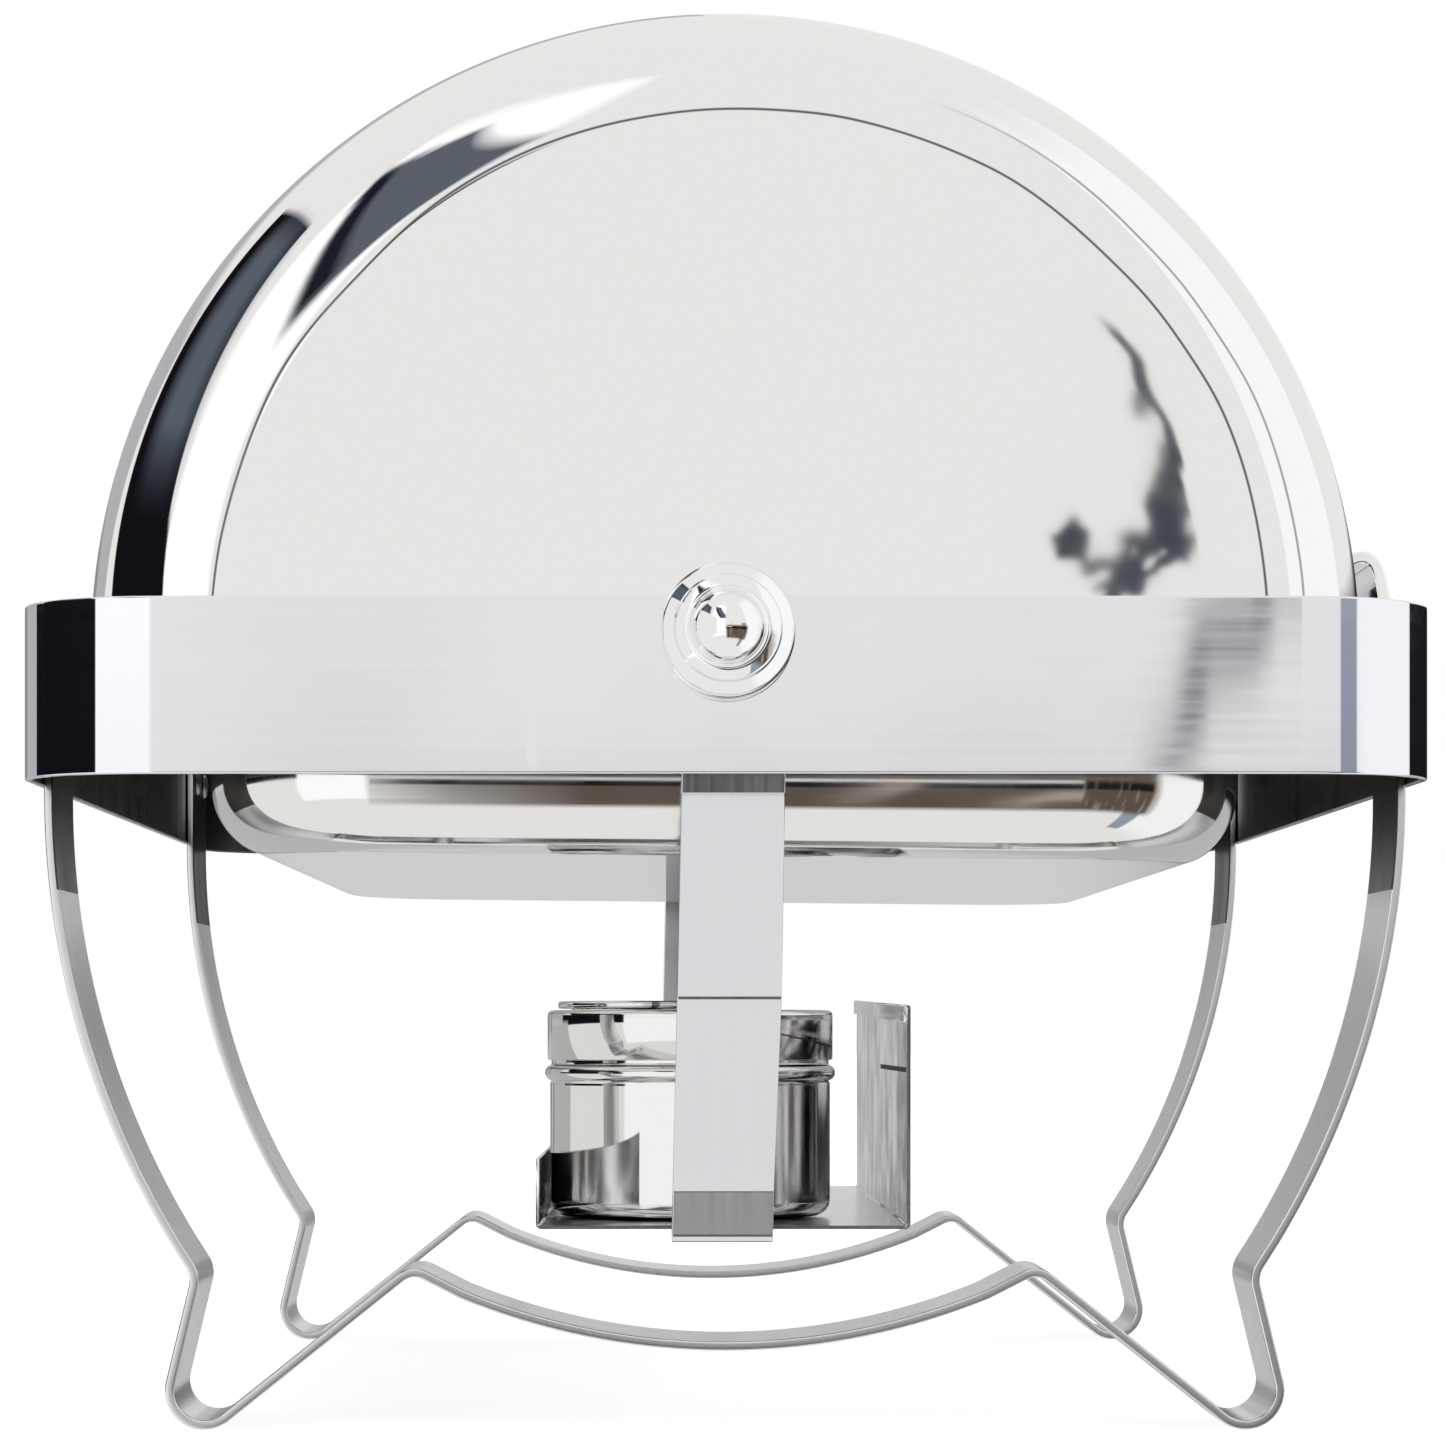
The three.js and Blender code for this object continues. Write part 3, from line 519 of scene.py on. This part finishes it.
def smoothed(points, steps):
    """A Catmull-Rom curve through the points of an open path."""
    result = []
    ends = [points[0]] + points + [points[-1]]
    for a, b, c, d in zip(ends, ends[1:], ends[2:], ends[3:]):
        for i in range(steps):
            t = i / steps
            result.append(tuple(
                0.5 * (2 * q + (r - p) * t + (2 * p - 5 * q + 4 * r - w) * t ** 2
                       + (3 * q - p - 3 * r + w) * t ** 3)
                for p, q, r, w in zip(a, b, c, d)))
    return result + [points[-1]]


def handle():
    path = smoothed(HANDLE_PATH, 6)
    normals = path_normals(path, False)
    half = HANDLE["sheet"] / 2
    right = [(x + nx * half, z + nz * half) for (x, z), (nx, nz) in zip(path, normals)]
    left = [(x - nx * half, z - nz * half) for (x, z), (nx, nz) in zip(path, normals)]
    outline = right + left[::-1]
    stations = []
    for y in (-HANDLE["half_y"], HANDLE["half_y"]):
        stations.append(((0, y, 0), (1, 0, 0), (0, 0, 1)))
    grip = swept("handle_bow", stations, outline, False, material=CHROME, body="lid", slot="bright_chrome",
                 nodes=("handle_grip",), weighted=False)
    bevel = grip.modifiers.new("rounded_ends", "BEVEL")
    bevel.width = 0.0012
    bevel.segments = 4
    bevel.limit_method = "ANGLE"
    bevel.angle_limit = math.radians(50)
    normals_fix = grip.modifiers.new("flat_faces_stay_flat", "WEIGHTED_NORMAL")
    normals_fix.weight = 100
    for end, sign in ENDS:
        post = rounded_path([(2.8, 204.9), (5.5, 204.9), (5.5, 216.9), (2.8, 216.9)], [0.3, 0.6, 0.6, 0.3])
        turned(f"handle_stud_{end}", post, on_handle(sign * HANDLE["post_y"]), 40, material=CHROME,
               body="lid", slot="bright_chrome", nodes=(f"handle_post_{end}",))
        screw = rounded_path([(0, 200.4), (3.6, 200.4), (5, 201.6), (5, 202.8), (2.5, 202.8), (2.5, 219.2),
                              (0, 219.2)], [0, 0.8, 0.5, 0.2, 0.2, 0.3, 0])
        turned(f"handle_bolt_{end}", screw, on_handle(sign * HANDLE["post_y"]), 32, material=ZINC,
               body="lid", slot="zinc_plated", nodes=(f"handle_screw_{end}",))


# ---------------------------------------------------------------- frame

def leg_path():
    """The centre line of a leg frame, from the top of the front leg to the top of the rear leg."""
    foot_z = FOOT["radius"] + LEG["sheet"] / 2
    upper = arc(LEG_BEND["middle_x"], LEG["bend_z"], LEG_BEND["radius"], 0, -LEG_BEND["sweep"], 30)
    foot = arc(FOOT["x"], foot_z, FOOT["radius"], FOOT["out"], -90 - FOOT["in"], 22)
    knee = round_corner(upper[-1], LEG_KNEE["corner"], foot[0], LEG_KNEE["rounding"], 8)
    stretcher = [(x, PIVOT_Z - math.sqrt(SAG_RADIUS ** 2 - x ** 2))
                 for x in range(LEG_PEAK["stretcher_x"], -1, -5)]
    peak = round_corner(foot[-1], LEG_PEAK["corner"], stretcher[0], LEG_PEAK["rounding"], 8)
    half = [(LEG["top_x"], LEG["top_z"])] + upper[:-1] + knee + foot + peak + stretcher
    return half + [(-x, z) for x, z in reversed(half[:-1])]


def leg_frames():
    section = rounded_section(LEG["sheet"], LEG["width"], 0.6)
    for end, sign in ENDS:
        strip = strip_in_xz(f"leg_strip_{end}", leg_path(), sign * LEG["middle_y"], section,
                            material=LEG_STEEL, body="frame", slot="satin_stainless",
                            nodes=(f"leg_frame_{end}",))
        # The legs' inner faces above this height get the painted shade.
        paint_inside_shade(strip, LEG["painted_shade_z"], across_only=True)
        for side, word in ((1, "front"), (-1, "rear")):
            for i, offset in enumerate((-LEG_RIVETS["offset"], LEG_RIVETS["offset"])):
                leg_rivet(side, sign * LEG["middle_y"] + offset, f"leg_rivet_{end}_{word}_{i + 1}")


def leg_rivet(side, y, node):
    head = LEG["top_x"] - LEG["sheet"] / 2 - 0.3
    profile = [(0, head - 1.6), (1.6, head - 1.55), (3.2, head - 1.25), (4.4, head - 0.75), (5, head - 0.1),
               (5, head), (2.5, head), (2.5, BAND["half_x"] - 0.45), (2.3, BAND["half_x"] - 0.3),
               (0, BAND["half_x"] - 0.3)]
    turned(f"{node}_button", profile, along_x(side, y, LEG_RIVETS["z"]), 24, material=ZINC, body="frame",
           slot="zinc_plated", nodes=(node,))


def hanger_middle_x(end, z):
    return HANGER_MIDDLE_X[end] - (PIVOT_Z - z) * HANGER["lean"]


def hangers():
    radii = [0] + [HANGER["rounding"]] * (len(HANGER_BENDS) - 2) + [0]
    path = rounded_path(HANGER_BENDS, radii, 6, closed=False)
    section = rounded_section(HANGER["sheet"], HANGER["width"], 0.4)
    for end, sign in ENDS:
        stations = []
        for (y, z), (ny, nz) in zip(path, path_normals(path, False)):
            stations.append(((hanger_middle_x(end, z), sign * y, z), (0, sign * ny, nz), (1, 0, 0)))
        swept(f"hanger_strip_{end}", stations, section, False, material=HANGER_STEEL, body="frame",
              slot="satin_stainless", nodes=(f"hanger_{end}",))


def tray():
    """One folded channel: short rear wall, floor, tall front wall with an inward hem and a slit."""
    t = TRAY["sheet"]
    x = TRAY["half_x"]
    outline = rounded_path(
        [(-x, TRAY["floor"]), (x, TRAY["floor"]), (x, TRAY["front"]), (x - 2.4, TRAY["front"]),
         (x - 2.4, TRAY["front"] - TRAY["hem"]), (x - t, TRAY["front"] - TRAY["hem"]),
         (x - t, TRAY["floor"] + t), (-x + t, TRAY["floor"] + t), (-x + t, TRAY["rear"]),
         (-x, TRAY["rear"])],
        [1.8, 1.8, 1.1, 0.6, 0.3, 0.2, 0.9, 0.9, 0.3, 0.3], 4)
    stations = []
    for y in (-TRAY["half_y"], TRAY["half_y"]):
        stations.append(((0, y, 0), (1, 0, 0), (0, 0, 1)))
    piece = swept("burner_channel", stations, outline, False, material=TRAY_STEEL, body="frame",
                  slot="satin_stainless", nodes=("burner_tray",))
    for vertex in piece.data.vertices:
        if vertex.co.z > (TRAY["front"] - TRAY["hem"] - 1) * MM:
            vertex.co.z += vertex.co.y * TRAY_SLOPE
    slit = rounded_section(0.12, TRAY_SLIT["height"], 0.05)
    stations = [((x - t - 0.02, y, TRAY_SLIT["z"]), (1, 0, 0), (0, 0, 1)) for y in TRAY_SLIT["y"]]
    swept("tray_slit", stations, slit, False, material=SLIT, body="frame", slot="satin_stainless")
    for end, sign in ENDS:
        middle = hanger_middle_x(end, HANGER["leg_z"])
        for word, side in (("front", 1), ("rear", -1)):
            tray_rivet(middle + side * TRAY_RIVETS["offset"], sign * TRAY_RIVETS["y"],
                       f"tray_rivet_{end}_{word}")


def tray_rivet(x, y, node):
    top = TRAY["floor"] + TRAY["sheet"] + 0.3
    bottom = HANGER["leg_z"] - HANGER["sheet"] / 2 - 0.3
    profile = [(0, bottom - 1.2), (2.0, bottom - 1.1), (3.1, bottom - 0.5), (3.4, bottom), (2, bottom),
               (2, top), (4, top), (3.7, top + 0.6), (2.6, top + 1.15), (0, top + 1.3)]
    turned(f"{node}_button", profile, upright(x, y), 24, material=ZINC, body="frame", slot="zinc_plated",
           nodes=(node,))


def pivot_collar(end, sign):
    profile = rounded_path([(4.3, 310.3), (19.6, 310.3), (20.4, 311.1), (20.4, 314.6), (19.4, 315.6),
                            (4.3, 315.6)], [0.2, 0.6, 0.6, 0.8, 0.8, 0.2], 6)
    turned(f"collar_ring_{end}", profile, on_pivot(sign), 96, material=CHROME, body="frame",
           slot="bright_chrome", nodes=(f"pivot_collar_{end}",), weighted=False)


def pivot_knob(end, sign):
    """The stepped ball knob, with a rounded disc, a soft step and a ball."""
    disc = rounded_path([(4.3, 315.9), (19.2, 315.9), (20.9, 317.4), (20.9, 320.6), (16.6, 324.9),
                         (16.2, 326.6), (13.0, 328.5), (11.0, 328.2)],
                        [0.2, 1.2, 2.0, 4.6, 0.9, 1.6, 1.5, 0], 8, closed=False)
    ball = arc(0, 327.8, 11.7, 6, 90, 22)
    profile = [(0, 325), (4.3, 325)] + disc[:-1] + ball
    turned(f"ball_knob_{end}", profile, on_pivot(sign), 96, material=CHROME, body="frame",
           slot="bright_chrome", nodes=(f"pivot_knob_{end}",), weighted=False)


def bumper(end, sign):
    neck_top, neck_bottom = 236.3, 233.7
    profile = [(0, neck_bottom - 3.2), (1.6, neck_bottom - 3.1), (3.4, neck_bottom - 0.4),
               (3.6, neck_bottom), (2.4, neck_bottom), (2.4, neck_top), (4.8, neck_top),
               (5, neck_top + 0.3), (5, 250.2), (4.6, 251.1), (3.6, 251.6), (0, 251.7)]
    turned(f"rest_bumper_{end}", profile, upright(BUMPER["x"], sign * BUMPER["y"]), 32, material=RUBBER,
           body="frame", slot="bumper_rubber", nodes=(f"lid_bumper_{end}",))


def keep_small_fittings():
    """The bolts, nuts, washers, spacers, brackets and bracket rivets keep their own shapes."""
    for name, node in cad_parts.items():
        if name.startswith(("pivot_bolt", "pivot_nut", "pivot_washer", "pivot_spacer", "carrier_bracket",
                            "bracket_rivet", "snuffer_rivet")):
            node.data.materials.clear()
            node.data.materials.append(ZINC)


# ---------------------------------------------------------------- pans and burners

def pan_side(size, inset):
    """(half x, half y, corner, z) from the middle of a pan's floor, up its bend and wall, to its rim."""
    floor_x, floor_y, floor_corner, floor_z = size["floor"]
    low_x, low_y, corner = size["wall"]
    top_x, top_y, top_z = size["top"]
    rim_x, rim_y, rim_corner = size["rim"]
    corner -= inset
    loops = [(floor_x * k, floor_y * k, floor_corner * k, floor_z + inset) for k in (0.5, 0.9, 0.97)]
    for turn in range(0, 91, 6):
        out, up = math.sin(math.radians(turn)), 1 - math.cos(math.radians(turn))
        loops.append((floor_x + (low_x - floor_x) * out - inset, floor_y + (low_y - floor_y) * out - inset,
                      floor_corner + (corner - floor_corner) * out,
                      floor_z + inset + (size["bend"] - inset) * up))
    z = top_z + inset
    loops += [(top_x - inset - 0.3, top_y - inset - 0.3, corner, z - 4),
              (top_x - inset, top_y - inset, corner, z - 1.4),
              (top_x - inset + 0.5, top_y - inset + 0.5, corner, z - 0.4),
              (top_x + 1.6, top_y + 1.6, corner, z), (rim_x - 0.4, rim_y - 0.4, rim_corner, z)]
    return loops


def pan(name, size, node):
    """A deep-drawn pan; with a tilt, its floor hangs a little lower at its front than at its rear."""
    sheet, top_z, floor_z = size["sheet"], size["top"][2], size["floor"][3]
    rim_x, rim_y, rim_corner = size["rim"]
    edge = [(rim_x, rim_y, rim_corner, top_z + sheet / 2)]
    loops = []
    for half_x, half_y, corner, z in pan_side(size, 0) + edge + pan_side(size, sheet)[::-1]:
        settled = size["tilt"] * max(0.0, min(1.0, (top_z - 4 - z) / (top_z - 4 - floor_z)))
        loops.append([(x, y, z + settled * (size["wall"][0] - x) / 2)
                      for x, y in rounded_plan(half_x, half_y, corner, 14)])
    lofted(name, loops, True, material=PAN_STEEL, body=node, slot="polished_stainless", nodes=(node,),
           weighted=False)


def fuel_cup(end, sign):
    z = CUP["base"]
    body, bead, neck, middle = CUP["body"], CUP["bead"], CUP["neck"], CUP["bead_z"]
    inner = neck - 0.8
    outside = [(0, z), (body - 7, z)] + arc(body - 5.6, z + 5.6, 5.6, -75, 0, 8) + [(body, middle - 4.4)]
    beading = arc(bead - 3.0, middle, 3.0, -75, 75, 12)
    beading = [(body + 0.1, middle - 3.9)] + beading + [(neck, middle + 3.8)]
    top = [(neck, 133.6), (neck - 0.4, 134), (inner, 133.6)]
    inside = [(inner, z + 7)] + arc(inner - 5, z + 5.8, 5, 0, -80, 8) + [(0, z + 0.8)]
    turned(f"fuel_can_{end}", outside + beading + top + inside, upright(CUP["x"], sign * CUP["y"]), 96,
           material=CUP_STEEL, body=f"burner_{end}", slot="cup_stainless", nodes=(f"fuel_cup_{end}",),
           weighted=False)


def fuel_lid(end, sign):
    r, z0, z1, hole = CUP_LID["radius"], CUP_LID["z0"], CUP_LID["z1"], CUP_LID["hole"]
    outside = [(r - 0.6, z0), (r, z0 + 0.4)] + arc(r - 2.0, z1 - 2.0, 2.0, 0, 80, 8)
    top = [(hole + 2.2, z1), (hole + 0.8, z1 - 0.15), (hole, z1 - 0.6), (hole + 0.5, z1 - 0.9)]
    inside = arc(r - 2.6, z1 - 2.6, 1.8, 88, 0, 8) + [(r - 0.8, z0)]
    turned(f"ring_lid_{end}", outside + top + inside, upright(CUP["x"], sign * CUP["y"]), 96,
           material=CUP_STEEL, body=f"burner_lid_{end}", slot="cup_stainless", nodes=(f"fuel_lid_{end}",),
           weighted=False)


def snuffer(end, sign):
    """A pressed disc with a turned-down rim and an ear round its rivet."""
    levels = [(7.0, 137.6), (1.6, 137.6), (1.0, 136.95), (0.35, 136.95), (0.0, 137.3), (0.0, 138.6),
              (0.35, 139.3), (1.1, 139.5), (2.6, 139.2), (5.0, 138.6), (9.0, 138.5)]
    turn = math.radians(-SNUFFER["swing"]) if sign < 0 else math.radians(180 + SNUFFER["swing"])
    pivot_y = sign * (CUP["y"] - SNUFFER["pivot_y"])
    loops = []
    for inset, z in levels:
        loop = []
        for x, y in snuffer_outline(inset):
            y -= SNUFFER["pivot_y"]
            loop.append((CUP["x"] + x * math.cos(turn) - y * math.sin(turn),
                         pivot_y + x * math.sin(turn) + y * math.cos(turn), z))
        loops.append(loop)
    lofted(f"snuffer_plate_{end}", loops, True, material=CUP_STEEL, body=f"snuffer_{end}",
           slot="cup_stainless", nodes=(f"snuffer_disc_{end}",), weighted=False)


def snuffer_outline(inset):
    radius, ear, reach = SNUFFER["radius"] - inset, SNUFFER["ear"] - min(inset, 3.4), SNUFFER["pivot_y"]
    tangent = math.degrees(math.acos((radius - ear) / reach))
    disc = arc(0, 0, radius, 90 + tangent, 450 - tangent, 56)
    return disc + arc(0, reach, ear, 90 - tangent, 90 + tangent, 14)


# ---------------------------------------------------------------- studio

def studio_floor():
    """A pale floor that glows a little, so that it stays white round the soft contact shadows."""
    size = 30.0
    mesh = bpy.data.meshes.new("floor")
    corners = [(-size, -size, 0), (size, -size, 0), (size, size, 0), (-size, size, 0)]
    mesh.from_pydata(corners, [], [(0, 1, 2, 3)])
    floor = bpy.data.objects.new("floor", mesh)
    bpy.context.scene.collection.objects.link(floor)
    material, _, shader = new_material("pale_floor", (0.55, 0.55, 0.55), 0.75, 0.0)
    shader.inputs["Emission Color"].default_value = (1, 1, 1, 1)
    shader.inputs["Emission Strength"].default_value = FLOOR_GLOW
    mesh.materials.append(material)
    floor.visible_glossy = False


def window(tree, value, low, high, soft):
    """1 where low < value < high, fading over soft at both sides."""
    rise = mapped(tree, value, 0, 1, low - soft, low + soft)
    fall = mapped(tree, value, 1, 0, high - soft, high + soft)
    return calculated(tree, "MULTIPLY", rise, fall)


# What the polished metal mirrors, in degrees: azimuth 0 is behind the camera, positive to the right.
# Each panel is (azimuth low, high, softness), (elevation low, high, softness), colour; later ones
# cover earlier ones.
ROOM = (0.86, 0.85, 0.83)
PANELS = [
    ((-56, -10, 1.5), (2, 60, 3), (1.1, 1.1, 1.1)),
    ((-56, -6, 1), (-30, 2, 1), (1.1, 1.1, 1.1)),
    ((-126, -55, 0.5), (-4, 7, 0.3), (0.006, 0.0055, 0.008)),
    ((-181, -126, 0.8), (-2, 30, 3), (0.46, 0.46, 0.48)),
    ((-181, -117, 0.8), (-60, -1.5, 1.5), (0.5, 0.5, 0.5)),
    ((117, 181, 0.8), (-60, -1.5, 1.5), (0.5, 0.5, 0.5)),
    ((-174, -150, 1.5), (-4, 9, 1.5), (0.27, 0.27, 0.28)),
    ((150, 174, 1.5), (-4, 9, 1.5), (0.27, 0.27, 0.28)),
    ((-181, -174, 1.5), (-60, 9, 1.5), (0.62, 0.62, 0.63)),
    ((174, 181, 1.5), (-60, 9, 1.5), (0.62, 0.62, 0.63)),
    ((40, 54, 0.6), (-60, 7.5, 0.4), (0.3, 0.34, 0.41)),
    ((55, 113, 0.6), (-60, 60, 6), (1.0, 1.0, 1.0)),
    ((114, 172, 0.6), (-4, 8, 1.5), (0.01, 0.01, 0.012)),
    ((-7, 60, 4), (-38, 0.5, 3), (0.11, 0.085, 0.065)),
    ((-7, 56, 1), (-10, -4, 0.8), (0.01, 0.009, 0.009)),
    ((-9, 10, 1), (-5.2, -3.3, 0.3), (0.66, 0.66, 0.67)),
]
# Openings between the softboxes: windows on azimuth, on azimuth + lean x elevation, on elevation and
# on z / |x|, which is level along an opening's straight top edge.
OPENINGS = [
    {"leaning": (-109, -50, 0.6), "lean": 0.5, "elevation": (7, 60, 0.3), "steepness": (-0.12, 1.15, 0.02),
     "colour": (0.006, 0.0055, 0.008)},
    {"leaning": (-90, -53, 9), "lean": 0.5, "elevation": (20, 60, 6), "steepness": (0.4, 1.1, 0.1),
     "colour": (0.1, 0.12, 0.15)},
    {"leaning": (-4, 21, 2), "lean": 1.0, "elevation": (21, 53, 1.5), "azimuth": (-62, -9, 1.5),
     "colour": (0.11, 0.125, 0.15)},
    {"leaning": (-3, 3, 1.5), "lean": 1.0, "elevation": (23, 52, 1.5), "azimuth": (-60, -20, 3),
     "colour": (0.012, 0.013, 0.02)},
]
STAND = {"azimuth": 7.4, "sway": 1.45, "bends": 0.5, "start": -2.7, "half_width": 0.24,
         "elevation": (3, 10.8, 0.2), "ragged": 0.4, "ragged_scale": 45.0, "colour": (0.05, 0.06, 0.075)}
# Things hanging on the stand, as windows on azimuth and on elevation; they rise a little to the right.
LUMP_RISE = 0.25
LUMP_LEVEL_AZIMUTH = 7.0
STAND_LUMPS = [((6.5, 7.3, 0.08), (6.5, 7.0, 0.06)), ((7.1, 8.2, 0.1), (6.35, 6.6, 0.06)),
               ((7.4, 9.0, 0.1), (5.9, 6.15, 0.06)), ((8.15, 8.75, 0.08), (8.6, 9.7, 0.2))]
# Streaks low in front: windows on azimuth and on elevation, and a noise that is drawn out upwards.
LOW_STREAKS = {"azimuth": (3, 62, 3), "elevation": (-36, -3, 2), "scale": 0.35, "detail": 3.0,
               "stretch": 0.06, "fade": (0.57, 0.66), "strength": 0.8, "colour": (0.5, 0.45, 0.42)}


def studio_world():
    """Plain white for the camera; panels, openings and a stand for everything the metal mirrors."""
    world = bpy.data.worlds.new("studio")
    bpy.context.scene.world = world
    world.use_nodes = True
    tree = world.node_tree
    place = tree.nodes.new("ShaderNodeTexCoord")
    split = tree.nodes.new("ShaderNodeSeparateXYZ")
    tree.links.new(place.outputs["Generated"], split.inputs["Vector"])
    x, y, z = split.outputs
    degrees = 180 / math.pi
    backwards = calculated(tree, "MULTIPLY", y, -1.0)
    azimuth = calculated(tree, "MULTIPLY", calculated(tree, "ARCTAN2", x, backwards), degrees)
    elevation = calculated(tree, "MULTIPLY", calculated(tree, "ARCSINE", z), degrees)
    sideways = calculated(tree, "MAXIMUM", calculated(tree, "ABSOLUTE", x), 0.001)
    steepness = calculated(tree, "DIVIDE", z, sideways)
    measures = {"azimuth": azimuth, "elevation": elevation, "steepness": steepness}
    light = ROOM
    for around, up, colour in PANELS:
        mask = calculated(tree, "MULTIPLY", window(tree, azimuth, *around), window(tree, elevation, *up))
        light = blended(tree, light, colour, mask)
    for opening in OPENINGS:
        measures["leaning"] = calculated(tree, "MULTIPLY_ADD", elevation, opening["lean"], azimuth)
        mask = 1.0
        for measure, value in measures.items():
            if measure in opening:
                mask = calculated(tree, "MULTIPLY", mask, window(tree, value, *opening[measure]))
        light = blended(tree, light, opening["colour"], mask)
    light = low_streaks(tree, light, azimuth, elevation)
    light = crooked_stand(tree, light, azimuth, elevation)
    path = tree.nodes.new("ShaderNodeLightPath")
    light = blended(tree, light, (1.0, 1.0, 1.0), path.outputs["Is Camera Ray"])
    tree.links.new(light, tree.nodes["Background"].inputs["Color"])


def crooked_stand(tree, light, azimuth, elevation):
    """A thin bent stand in front at the right, which the lid's end and the band mirror."""
    phase = calculated(tree, "MULTIPLY_ADD", elevation, STAND["bends"], STAND["start"])
    sway = calculated(tree, "MULTIPLY", calculated(tree, "SINE", phase), STAND["sway"])
    place = tree.nodes.new("ShaderNodeTexCoord")
    noise = tree.nodes.new("ShaderNodeTexNoise")
    noise.inputs["Scale"].default_value = STAND["ragged_scale"]
    tree.links.new(place.outputs["Generated"], noise.inputs["Vector"])
    ragged = mapped(tree, noise.outputs["Fac"], -STAND["ragged"], STAND["ragged"])
    aside = calculated(tree, "SUBTRACT", calculated(tree, "SUBTRACT", azimuth, sway), STAND["azimuth"])
    aside = calculated(tree, "ADD", aside, ragged)
    half = STAND["half_width"]
    mask = calculated(tree, "MULTIPLY", window(tree, aside, -half, half, 0.05),
                      window(tree, elevation, *STAND["elevation"]))
    rightwards = calculated(tree, "SUBTRACT", azimuth, LUMP_LEVEL_AZIMUTH)
    uneven = calculated(tree, "MULTIPLY_ADD", rightwards, -LUMP_RISE, elevation)
    uneven = calculated(tree, "ADD", uneven, ragged)
    for across, up in STAND_LUMPS:
        lump = calculated(tree, "MULTIPLY", window(tree, calculated(tree, "ADD", azimuth, ragged), *across),
                          window(tree, uneven, *up))
        mask = calculated(tree, "MAXIMUM", mask, lump)
    return blended(tree, light, STAND["colour"], mask)


def low_streaks(tree, light, azimuth, elevation):
    """Upright lighter and darker streaks low in front, as from table legs and stands."""
    across = tree.nodes.new("ShaderNodeCombineXYZ")
    tree.links.new(azimuth, across.inputs["X"])
    tree.links.new(calculated(tree, "MULTIPLY", elevation, LOW_STREAKS["stretch"]), across.inputs["Y"])
    noise = tree.nodes.new("ShaderNodeTexNoise")
    noise.inputs["Scale"].default_value = LOW_STREAKS["scale"]
    noise.inputs["Detail"].default_value = LOW_STREAKS["detail"]
    tree.links.new(across.outputs["Vector"], noise.inputs["Vector"])
    streaks = mapped(tree, noise.outputs["Fac"], 0, LOW_STREAKS["strength"], *LOW_STREAKS["fade"])
    low_front = calculated(tree, "MULTIPLY", window(tree, azimuth, *LOW_STREAKS["azimuth"]),
                           window(tree, elevation, *LOW_STREAKS["elevation"]))
    return blended(tree, light, LOW_STREAKS["colour"], calculated(tree, "MULTIPLY", streaks, low_front))


def reflector(name, x, y, z):
    """A small white card beside a knob, seen only by what mirrors it."""
    low_y, high_y = y
    low_z, high_z = z
    corners = [(x, low_y, low_z), (x, high_y, low_z), (x, high_y, high_z), (x, low_y, high_z)]
    mesh = bpy.data.meshes.new(name)
    mesh.from_pydata([(MIDDLE_X + a * MM, b * MM, c * MM) for a, b, c in corners], [], [(0, 1, 2, 3)])
    material, _, shader = new_material("card_white", (0, 0, 0), 0.8, 0.0)
    shader.inputs["Specular IOR Level"].default_value = 0.0
    shader.inputs["Emission Color"].default_value = (*ROOM, 1)
    shader.inputs["Emission Strength"].default_value = 1.0
    mesh.materials.append(material)
    card = bpy.data.objects.new(name, mesh)
    bpy.context.scene.collection.objects.link(card)
    card.visible_camera = False
    card.visible_diffuse = False
    card.visible_shadow = False


def area_light(name, location, target, size, watts):
    data = bpy.data.lights.new(name, "AREA")
    data.shape = "RECTANGLE"
    data.size, data.size_y = size
    data.energy = watts
    light = bpy.data.objects.new(name, data)
    bpy.context.scene.collection.objects.link(light)
    light.location = location
    light.rotation_euler = (Vector(target) - Vector(location)).to_track_quat("-Z", "Y").to_euler()
    light.visible_glossy = False


def camera():
    data = bpy.data.cameras.new("camera")
    data.sensor_width = 36.0
    data.lens = FOCAL_LENGTH
    data.shift_x, data.shift_y = VIEW_SHIFT
    eye = bpy.data.objects.new("camera", data)
    bpy.context.scene.collection.objects.link(eye)
    eye.location = (MIDDLE_X + CAMERA_ASIDE, BAND_LOW.y - CAMERA_DISTANCE, CAMERA_HEIGHT)
    eye.rotation_euler = (math.radians(90), 0, 0)
    bpy.context.scene.camera = eye


SLIT, _, _ = new_material("slit_shadow", (0.12, 0.12, 0.12), 0.6, 0.6)

camera()
studio_floor()
studio_world()
area_light("overhead_softbox", **OVERHEAD)
reflector("knob_card", **KNOB_CARD)
bpy.context.scene.view_settings.view_transform = "Standard"

dome_shell()
for _, sign in ENDS:
    lid_ear(sign)
for side in (1, -1):
    lid_hem(side)
handle()
# The band's inward faces get the painted shade.
paint_inside_shade(ring_on_plan("band_frame", BAND, 0.7, material=BAND_STEEL, body="frame", slot="satin_stainless",
                         nodes=("frame_band",)))
ring_on_plan("pan_support", CARRIER, 0.6, material=CARRIER_STEEL, body="frame", slot="satin_stainless",
             nodes=("pan_carrier",))
leg_frames()
hangers()
tray()
for end, sign in ENDS:
    pivot_collar(end, sign)
    pivot_knob(end, sign)
    bumper(end, sign)
    fuel_cup(end, sign)
    fuel_lid(end, sign)
    snuffer(end, sign)
pan("water_bath", WATER_PAN, "water_pan")
pan("food_tray", FOOD_PAN, "food_pan")
keep_small_fittings()
